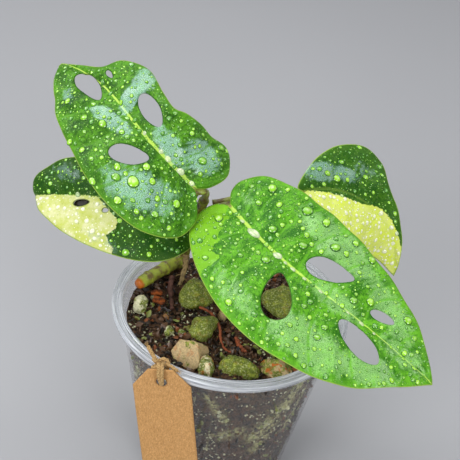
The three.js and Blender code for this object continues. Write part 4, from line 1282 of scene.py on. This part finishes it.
# Crumbs that stand out on the mix: x, y, size and tone
LISTED_CRUMBS = [
    (-17.3, -2.1, 0.9, 0.98), (-14.2, -1.2, 0.9, 0.98), (-20.7, -12.7, 0.8, 0.96), (-19.6, -14, 0.7, 0.96),
    (-15.1, -5.9, 0.9, 0.99), (-36.8, -3.9, 1.1, 0.99), (-32.3, -3.3, 0.9, 0.98), (-33.5, -5.1, 0.8, 0.97),
    (-24.3, -3.9, 0.9, 0.97), (-34.6, -14.2, 0.8, 0.96), (-18.3, -21.3, 0.8, 0.96), (-16.7, -17.7, 0.6, 0.97),
    (10.5, -15.4, 1.6, 0.92), (12.7, -18.5, 1.5, 0.92), (17.2, -19.7, 1.4, 0.92), (-29.6, -19.1, 1.4, 0.92),
    (-30.9, 7.6, 1.4, 0.995), (-37, 4.3, 1.6, 0.8), (-29.8, 1.2, 1.3, 0.8), (-25.2, -11.4, 1.2, 0.8),
    (-29.1, -7.1, 1.1, 0.82), (-23.2, -13.8, 1, 0.8), (7.7, -14.2, 1.4, 0.92), (13.6, -14.9, 1.3, 0.91),
]


def crumb_material(s):
    """Bark, rusty, olive and pale crumbs by their tone."""
    made, w, shader = start_material("crumbs", roughness=0.34, specular_ior_level=0.6)
    tone = w.value("tone")
    tint = w.blend(w.step(tone, 0.2, 0.6), s.dark, s.brown)
    tint = w.blend(w.step(tone, 0.8, 0.82), tint, s.rust)
    tint = w.blend(w.step(tone, 0.87, 0.89), tint, (0.28, 0.33, 0.07))
    tint = w.blend(w.step(tone, 0.94, 0.96), tint, s.perlite)
    grain = grain_of(w, s.dark, s.brown, 1.1)
    tint = w.blend(w.times(grain["Mask"], 0.3), tint, grain["Color"])
    paint(w, shader, tint, grain["Height"], 0.0002, 0.6)
    return made


def mix_material(s):
    made, w, shader = start_material("mix_body", roughness=0.85, specular_ior_level=0.3)
    grain = grain_of(w, s.dark, s.brown, 1.6)
    at = w.place()
    algae = w.times(w.value("algae"), w.step(w.noise(at, 0.55, 4.0, 0.65), 0.4, 0.6))
    specks = w.step(w.cells(at, 0.65), 0.36, 0.24)
    tint = w.blend(w.step(w.noise(at, 0.16, 3.0), 0.54, 0.7, 0.0, 0.6), grain["Color"], s.brown)
    tint = w.blend(w.times(specks, w.step(w.noise(at, 0.2, 2.0), 0.5, 0.56)), tint, s.perlite)
    paint(w, shader, w.blend(algae, tint, s.algae), grain["Height"], 0.0004, 0.7)
    return made


class VINE_OT_mix(bpy.types.Operator):
    """The potting mix with loose crumbs on top and pressed ones against the wall"""
    bl_idname = "vine.mix"
    bl_label = "Potting mix"

    def execute(self, context):
        s = context.scene.vine_mix
        random = np.random.default_rng(19)
        finish_piece(self.body(s), "potting_mix", "potting_mix")
        forms = crumb_forms(random)
        material = crumb_material(s)
        loose = Shape()
        for _ in range(s.crumbs):
            r, a = 38.6 * math.sqrt(random.random()), random.uniform(0, 2 * math.pi)
            x, y = r * math.cos(a), r * math.sin(a)
            size = 0.35 + 2.3 * random.random() ** 3.2
            at = (x, y, soil_height(x, y) + size * 0.1)
            self.put(loose, forms, random, at, size, random.random() * 0.94)
        for x, y, size, tone in LISTED_CRUMBS:
            for _ in range(3):
                dx, dy = random.normal(size=2) * size * 0.45
                at = (x + dx, y + dy, soil_height(x, y) + size * 0.5)
                self.put(loose, forms, random, at, size * 0.75, tone, flat=0.9)
        finish_piece(loose.build("loose_crumbs", material, smooth=False), "potting_mix")
        pressed = Shape()
        for _ in range(s.pressed):
            z, a = random.uniform(3, 72.5), random.uniform(-math.pi, math.pi)
            size = 0.3 + 1.8 * random.random() ** 3
            r = wall_radius(z) - 0.25 - size * 0.36
            streak = near_streak(np.array([a]), np.array([z]))[0]
            tone = random.random() if random.random() > streak else random.uniform(0.88, 1)
            at = (r * math.cos(a), r * math.sin(a), z)
            self.put(pressed, forms, random, at, size, tone, flat=0.7)
        finish_piece(pressed.build("pressed_crumbs", material, smooth=False), "potting_mix")
        return {"FINISHED"}

    def put(self, shape, forms, random, at, size, tone, flat=0.55):
        points, faces = forms[random.integers(len(forms))]
        points = points * [1, random.uniform(0.5, 0.9), random.uniform(0.4, 0.9) * flat]
        shape.add(points @ turn_matrix(random).T * size + np.array(at), faces, tone=tone)

    def body(self, s):
        sides = 240
        angle = round_angles(sides)
        rim = wall_radius(SOIL_LEVEL) - 0.6
        radii = np.linspace(0.012, 1, 96)
        top = radii[:, None] * rim
        x, y = top * np.cos(angle), top * np.sin(angle)
        flat = np.stack([x, y, 0 * x], -1).reshape(-1, 3)
        bumps = (fractal(flat, 2.2) * 0.55 + fractal(flat + 50, 7) * 0.35).reshape(x.shape)
        upper = np.stack([x, y, soil_height(x, y) + bumps - 0.3], -1)
        z = np.linspace(SOIL_LEVEL - 1, SOIL_FOOT, 110)[:, None] + 0 * angle
        edge = wall_radius(z) - 0.5
        side = np.stack([edge * np.cos(angle), edge * np.sin(angle), z], -1)
        hollow = np.abs(fractal(side.reshape(-1, 3), 3.5)).reshape(z.shape) * 1.3
        side[..., 0] -= hollow * np.cos(angle)
        side[..., 1] -= hollow * np.sin(angle)
        rings = np.vstack([upper, side])
        points = np.vstack([rings.reshape(-1, 3), [[0, 0, soil_height(0.0, 0.0) - 0.3], [0, 0, SOIL_FOOT]]])
        faces = [(face[0], *face[:0:-1]) for face in closed_rings(len(rings), sides)]
        algae = np.zeros(len(points))
        spots = rings[len(radii):].reshape(-1, 3)
        algae[len(radii) * sides:-2] = near_streak(np.arctan2(spots[:, 1], spots[:, 0]), spots[:, 2])
        shape = Shape()
        shape.add(points, faces, algae=algae)
        return shape.build("potting_mix_body", mix_material(s))


# Stones and bark


def cover_group():
    """Bare stone with patches of granular green growth, painted highlights on the grains of the growth, and
    rust.
    """
    tree, w, given, result = make_group(
        "vine stone cover", {"Dark": "colour", "Light": "colour", "Moss": "colour", "Deep moss": "colour",
                             "Rust": "colour", "Moss share": "value", "Rust share": "value"},
        {"Color": "colour", "Roughness": "value", "Height": "value"})
    at = w.place()
    patch = w.noise(at, 0.32, 4.0, 0.6)
    fine = w.noise(at, 1.8, 4.0, 0.65)
    cells = w.cells(at, 1.5)
    bare = w.blend(w.step(fine, 0.35, 0.65), given["Dark"], given["Light"])
    broad = w.noise(at, 0.5, 5.0, 0.7)
    growth = w.blend(w.step(broad, 0.36, 0.54), given["Moss"], given["Deep moss"])
    growth = w.blend(w.step(cells, 0.3, 0.75, 0.0, 0.4), growth, given["Deep moss"])
    # Pale specks on the growth are painted highlights on its grains.
    growth = w.blend(w.step(fine, 0.5, 0.68, 0.0, 0.75), growth, given["Light"])
    limit = w.math("SUBTRACT", 0.8, w.times(given["Moss share"], 0.7))
    green = w.step(w.math("SUBTRACT", patch, limit), -0.06, 0.06)
    tint = w.blend(green, bare, growth)
    spots = w.noise(at, 0.45, 3.0, 0.5, 0.5)
    rusty = w.times(w.step(spots, 0.55, 0.66), given["Rust share"])
    w.feed(result["Color"], w.blend(rusty, tint, given["Rust"]))
    w.feed(result["Roughness"], w.step(fine, 0.3, 0.7, 0.55, 0.9))
    lumps = w.times(w.math("SUBTRACT", 1.0, cells), green)
    w.feed(result["Height"], w.plus(w.times(fine, 0.6), w.times(lumps, 0.6)))
    return tree


def stone_materials(s):
    group = cover_group()
    grey_green = between(s.moss, s.pumice)
    looks = {
        "moss": (dim(s.moss, 0.5), grey_green, 0.85, 0.12),
        "lichen": (s.tan, s.pumice, 0.5, 0.8),
        "pumice": (dim(s.pumice, 0.75), s.pumice, 0.4, 0.1),
        "tan": (dim(s.tan, 0.65), s.tan, 0.3, 0.35),
        "rust": (dim(s.tan, 0.7), s.tan, 0.5, 1.0),
        "crumbly": (grey_green, s.pumice, 0.5, 0.0),
    }
    made = {}
    for name, (dark, light, moss, rust) in looks.items():
        material, w, shader = start_material("stone_" + name + "_skin", specular_ior_level=0.3)
        parts = w.group(group, {"Dark": dark, "Light": light, "Moss": s.moss, "Deep moss": s.deep_moss,
                                "Rust": s.rust, "Moss share": moss, "Rust share": rust})
        paint(w, shader, parts["Color"], parts["Height"], 0.0003, 0.8)
        w.feed(shader.inputs["Roughness"], parts["Roughness"])
        made[name] = material
    return made


def stone_points(points, half, seed, flats, mossy):
    """A ball's points shaped as the solid's lumpy stone, with flats, roughness and grains of growth."""
    k = 1.7 * seed
    x, y, z = points.T
    reach = 0.9 + 0.1 * np.sin(3 * x + k) + 0.08 * np.sin(4 * y - k) + 0.06 * np.cos(5 * z + 2 * k)
    shaped = points * reach[:, None]
    for direction, limit in flats:
        d = np.array(direction) / np.linalg.norm(direction)
        over = np.maximum(shaped @ d - limit, 0)
        shaped -= d * (over * 0.9)[:, None]
    shaped = shaped * half
    if seed in LOBED:
        shear, waist = LOBED[seed]
        along = shaped[:, 1:2] / half[1]
        shaped[:, :1] = shaped[:, :1] * (1 - waist * np.exp(-(along / 0.3) ** 2)) + shear * along
    rough = fractal(shaped + 9 * seed, 2.4) * 0.38
    if mossy:
        grains = np.array([noise.voronoi(Vector(p))[0][0] for p in shaped / 0.9 + 3 * seed])
        rough += 0.28 - 0.4 * np.clip(grains, 0, 0.9)
    return shaped + points * rough[:, None]


class VINE_OT_stones(bpy.types.Operator):
    """Stones with moss, lichen and rust, and two bark chips, on the mix"""
    bl_idname = "vine.stones"
    bl_label = "Stones and bark"

    def execute(self, context):
        s = context.scene.vine_stone
        materials = stone_materials(s)
        slots = {"moss": "mossy_stone", "lichen": "mossy_stone", "pumice": "pale_pumice", "tan": "tan_stone",
                 "rust": "tan_stone", "crumbly": "mossy_stone"}
        for name, (centre, half, seed, look, flats) in STONES.items():
            level = 5 if max(half) > 3 else 4
            points, faces = ball(level)
            shape = Shape()
            points = stone_points(points, np.array(half), seed, flats, look in ("moss", "lichen", "crumbly"))
            shape.add(points + np.array(centre), faces)
            finish_piece(shape.build(name + "_rock", materials[look]), slots[look], name)
        bark, w, shader = start_material("bark_chip", roughness=0.8, specular_ior_level=0.25)
        grain = grain_of(w, srgb("4a2312"), srgb("a2531f"), 1.2)
        paint(w, shader, grain["Color"], grain["Height"], 0.0004, 0.8)
        for number, (centre, size, turn, tilt) in enumerate(CHIPS, 1):
            points, faces = ball(4)
            boxy = np.sign(points) * np.abs(points) ** 0.55
            boxy = boxy / np.abs(boxy).max(0) * np.array(size) / 2
            boxy += points * (fractal(boxy + number, 1.1) * 0.35)[:, None]
            spin = Matrix.Rotation(math.radians(turn), 3, "Z") @ Matrix.Rotation(math.radians(tilt), 3, "X")
            shape = Shape()
            shape.add(boxy @ np.array(spin).T + np.array(centre), faces)
            finish_piece(shape.build(f"bark_chip_{number}_flake", bark), "bark", f"bark_chip_{number}")
        return {"FINISHED"}


# Roots


def on_mix(points, radius):
    """Root points, with those that give no height laid on the mix."""
    return [p if len(p) == 3 else (*p, soil_height(*p) + 0.6 * radius) for p in points]


class VINE_OT_roots(bpy.types.Operator):
    """The dried sheath and the dark roots on the mix"""
    bl_idname = "vine.roots"
    bl_label = "Roots"

    def execute(self, context):
        s = context.scene.vine_stem
        looks = {"root_1": (s.sheath, 0.5), "root_2": (s.root, 1.0), "root_3": (s.thread, 1.0),
                 "root_4": (s.thread, 1.0)}
        random = np.random.default_rng(5)
        for name, (radius, points) in ROOTS.items():
            main, squash = looks[name]
            path = smooth_path(on_mix(points, radius), 14 * len(points))
            along = np.linspace(0, 1, len(path))
            path += fractal(path, 3.0)[:, None] * 0.25
            radii = radius * (1 - 0.25 * along + 0.12 * np.sin(31 * along + radius))
            shape = Shape()
            add_tube(shape, path, radii, 14, squash, ring=along_tube(0.2 + 0 * along, 14, 0.5, 0.5),
                     ripple=lambda v, a: 1 + 0.1 * np.sin(5 * a + 4 * v) + 0.06 * np.sin(9 * a - 11 * v))
            material = stalk_material(name + "_skin", main, dim(main, 0.45), 1.4, 0.7)
            for _ in range(10):
                at = path[random.integers(len(path))]
                step = random.normal(size=3) * [1, 1, 0.35]
                bent = np.array([at, at + step * 0.7, at + step * 1.5 - [0, 0, 0.5],
                                 at + step * 2 - [0, 0, 1.1]])
                add_tube(shape, smooth_path(bent, 8), radius * 0.14, 5, ring=0.3)
            finish_piece(shape.build(name + "_strand", material), "root", name)
        return {"FINISHED"}


# Tag and twine


def hang_card(points):
    """Turns flat card points about the hole as the solid's tag hangs."""
    turn = Matrix.Identity(3)
    for degrees, axis in TAG_TURNS:
        turn = turn @ Matrix.Rotation(math.radians(degrees), 3, axis)
    return points @ np.array(turn).T + np.array(TAG_HOLE)


def split_line(corners, step):
    """A closed ring through corners, split into short steps."""
    ring = []
    for a, b in zip(corners, corners[1:] + corners[:1]):
        a, b = np.array(a, float), np.array(b, float)
        n = max(1, int(np.linalg.norm(b - a) / step))
        ring += [a + (b - a) * i / n for i in range(n)]
    return np.array(ring)


def card_material(s):
    made, w, shader = start_material("kraft_tag", roughness=0.88, specular_ior_level=0.2)
    at = w.place()
    fibres = w.noise(w.stretch(at, (2.4, 2.4, 0.9)), 1.0, 5.0, 0.75, 1.0)
    flecks = w.noise(at, 3.4, 2.0, 0.5)
    tint = w.blend(w.step(fibres, 0.36, 0.66), s.fibre, s.kraft)
    tint = w.blend(w.step(flecks, 0.64, 0.72, 0.0, 0.6), tint, (0.72, 0.5, 0.3))
    tint = w.blend(w.step(flecks, 0.32, 0.26, 0.0, 0.5), tint, s.fibre)
    paint(w, shader, tint, fibres, 0.0001, 0.5)
    return made


def twine_material(s):
    made, w, shader = start_material("jute", roughness=0.9, specular_ior_level=0.15)
    fibres = w.noise(w.stretch(w.place(), (3.0, 3.0, 3.0)), 1.0, 4.0, 0.7)
    paint(w, shader, w.blend(w.step(fibres, 0.35, 0.6), s.shade, s.twine), fibres, 0.0001, 0.6)
    return made


def add_strand(shape, points, random, count=60, fuzz=14):
    """Twine of three plies twisted round a path, with loose fibres."""
    path = smooth_path(points, count)
    _, one, two = along_frames(path)
    run = np.concatenate([[0], np.cumsum(np.linalg.norm(np.diff(path, axis=0), axis=1))])
    for ply in range(3):
        angle = run * 1.9 + ply * 2 * np.pi / 3
        around = one * np.cos(angle)[:, None] + two * np.sin(angle)[:, None]
        add_tube(shape, path + around * TWINE_RADIUS * 0.48, TWINE_RADIUS * 0.56, 8,
                 ripple=lambda v, a: 1 + 0.08 * np.sin(4 * a + 30 * v))
    for _ in range(fuzz):
        at = path[random.integers(len(path))]
        add_fibre(shape, at, random.normal(size=3), random.uniform(0.8, 2.2), random)


def add_fibre(shape, at, way, long, random):
    """One thin bent fibre that leaves a place in the given direction."""
    way = way / np.linalg.norm(way)
    bend = random.normal(size=3) * 0.25
    line = [at + way * long * t + bend * t * t for t in (0, 0.4, 0.75, 1)]
    add_tube(shape, smooth_path(line, 6), np.linspace(0.06, 0.025, 6), 4)


class VINE_OT_tag(bpy.types.Operator):
    """The bare card tag and the knotted jute tie"""
    bl_idname = "vine.tag"
    bl_label = "Tag and twine"

    def execute(self, context):
        s = context.scene.vine_tag
        finish_piece(self.card(s), "kraft_card", "tag")
        finish_piece(self.tie(s), "jute_twine", "tag_twine")
        return {"FINISHED"}

    def card(self, s):
        half, top, foot, step = TAG_WIDTH / 2, TAG_TOP / 2, TAG_DROP - TAG_HEIGHT, 0.7
        clip = TAG_DROP - TAG_CLIP
        corners = [(-half, foot), (half, foot), (half, clip), (top, TAG_DROP), (-top, TAG_DROP),
                   (-half, clip)]
        turns = round_angles(40)
        hole = np.stack([TAG_HOLE_RADIUS * np.cos(turns), TAG_HOLE_RADIUS * np.sin(turns)], -1)
        rings = [split_line(corners, step), hole]
        low, high = rings[0].min(0), rings[0].max(0)
        gx, gy = np.meshgrid(np.arange(low[0], high[0], step), np.arange(low[1], high[1], step))
        points, triangles = fill_rings(rings, np.stack([gx.ravel(), gy.ravel()], -1), step)
        rim = nearest_ring(points, rings)
        bow = 0.35 * np.cos(points[:, 1] * 0.08 + 1) + 0.05 * fractal(np.c_[points, 0 * rim], 5)
        half_thick = TAG_THICKNESS / 2 * (1 - 0.3 * np.exp(-(rim / 0.25) ** 2))
        both = np.vstack([np.c_[points, bow - 0.25 + half_thick], np.c_[points, bow - 0.25 - half_thick]])
        shape = Shape()
        shape.add(hang_card(both), sheet_faces(triangles, len(points)))
        return shape.build("tag_card", card_material(s))

    def tie(self, s):
        random = np.random.default_rng(3)
        k, h = np.array(KNOT), np.array(TAG_HOLE)
        shape = Shape()
        for shift in (-0.5, 0.6):
            add_strand(shape, [k + (shift, 0, 0), k + (0.3 + shift, -2.3, 2), h + (-0.8 + shift, -0.4, 6.8),
                               h + (-0.6 + shift, -1.6, 4.4), h + (0.4 * shift, -1.5, 1), h + (0, -0.2, -0.5),
                               h + (0, 1.2, 0.2)], random)
        add_strand(shape, [h + (0, 1.1, 0.1), h + (-0.3, 1.6, 2.6), h + (-0.7, 2.2, 4.3), k], random)
        add_strand(shape, [k, (*TIE_HOLE, 80.9), (*TIE_HOLE, 76.8)], random, 30)
        for bend, end in (((-2.2, 1.2, 1.6), (-5, 3, 4.8)), ((3, -0.6, 0.6), (6.2, -2.4, 0.2))):
            add_strand(shape, [k, k + bend, k + end], random, 40, fuzz=22)
            way = (k + end) - (k + bend)
            for _ in range(26):
                spread = way + random.normal(size=3) * 1.2
                add_fibre(shape, k + end - way * 0.1, spread, random.uniform(1, 2.6), random)
        t = np.linspace(0, 2 * np.pi, 25)
        loops = np.stack([(2 + np.cos(3 * t)) * np.cos(2 * t), (2 + np.cos(3 * t)) * np.sin(2 * t),
                          1.7 * np.sin(3 * t)], -1) * 0.72
        add_strand(shape, k + loops * [1.4, 1.0, 1.2], random, 150, fuzz=30)
        return shape.build("jute_tie", twine_material(s))


# Stage


class VINE_OT_stage(bpy.types.Operator):
    """A plain pale floor, soft studio light and the camera"""
    bl_idname = "vine.stage"
    bl_label = "Stage"

    def execute(self, context):
        s = context.scene.vine_stage
        scene = context.scene
        scene.view_settings.view_transform = "Standard"
        self.set_camera(scene, s)
        self.set_lights(scene, s)
        floor = Shape()
        floor.add([(x, y, 0) for x, y in FLOOR_CORNERS], [(0, 1, 2, 3)])
        material, w, shader = start_material("studio_floor", roughness=0.85, specular_ior_level=0.2)
        grain = w.noise(w.place(), 0.004, 2.0)
        w.feed(shader.inputs["Base Color"], w.blend(w.step(grain, 0.2, 0.8), dim(s.floor, 0.97), s.floor))
        floor.build("floor", material)
        return {"FINISHED"}

    def set_camera(self, scene, s):
        rise, roll = math.radians(CAMERA_RISE), math.radians(CAMERA_ROLL)
        back = Vector((0, -math.cos(rise), math.sin(rise)))
        right, up = Vector((1, 0, 0)), Vector((0, math.sin(rise), math.cos(rise)))
        across = right * math.cos(roll) + up * math.sin(roll)
        above = up * math.cos(roll) - right * math.sin(roll)
        camera = bpy.data.objects.new("camera", bpy.data.cameras.new("camera"))
        camera.data.lens, camera.data.sensor_width = s.focal, 36
        camera.data.clip_start, camera.data.clip_end = 0.01, 20
        place = Matrix((across, above, back)).transposed().to_4x4()
        place.translation = Vector(CAMERA_TARGET) + back * s.distance
        camera.matrix_world = place
        scene.collection.objects.link(camera)
        scene.camera = camera

    def set_lights(self, scene, s):
        world = bpy.data.worlds.new("studio")
        world.use_nodes = True
        background = world.node_tree.nodes["Background"]
        background.inputs["Color"].default_value = WORLD_TINT
        background.inputs["Strength"].default_value = WORLD_STRENGTH
        scene.world = world
        for name, (place, size, share_of_key) in LIGHTS.items():
            light = bpy.data.objects.new(name, bpy.data.lights.new(name, "AREA"))
            light.data.shape, light.data.size, light.data.energy = "SQUARE", size, s.key * share_of_key
            light.data.color = LIGHT_TINT
            light.location = place
            way = Vector(LIGHT_TARGET) - light.location
            light.rotation_euler = way.to_track_quat("-Z", "Y").to_euler()
            scene.collection.objects.link(light)


OPERATORS = [VINE_OT_stage, VINE_OT_leaves, VINE_OT_drops, VINE_OT_stems, VINE_OT_roots, VINE_OT_pot,
             VINE_OT_mix, VINE_OT_stones, VINE_OT_tag]


class VINE_PT_panel(bpy.types.Panel):
    """The vine's pieces and their sizes and colours"""
    bl_label = "Potted vine"
    bl_idname = "VINE_PT_panel"
    bl_space_type = "VIEW_3D"
    bl_region_type = "UI"
    bl_category = "Vine"

    def draw(self, context):
        for operator in OPERATORS:
            self.layout.operator(operator.bl_idname)
        for name, group in GROUPS.items():
            box = self.layout.box()
            for key in group.__annotations__:
                box.prop(getattr(context.scene, name), key)


def register():
    for cls in [*GROUPS.values(), *OPERATORS, VINE_PT_panel]:
        bpy.utils.register_class(cls)
    for name, group in GROUPS.items():
        setattr(bpy.types.Scene, name, PointerProperty(type=group))


def unregister():
    for name in GROUPS:
        delattr(bpy.types.Scene, name)
    for cls in [VINE_PT_panel, *reversed(OPERATORS), *reversed(GROUPS.values())]:
        bpy.utils.unregister_class(cls)


def main():
    register()
    for operator in OPERATORS:
        area, name = operator.bl_idname.split(".")
        getattr(getattr(bpy.ops, area), name)()
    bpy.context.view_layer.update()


if __name__ == "__main__":
    main()
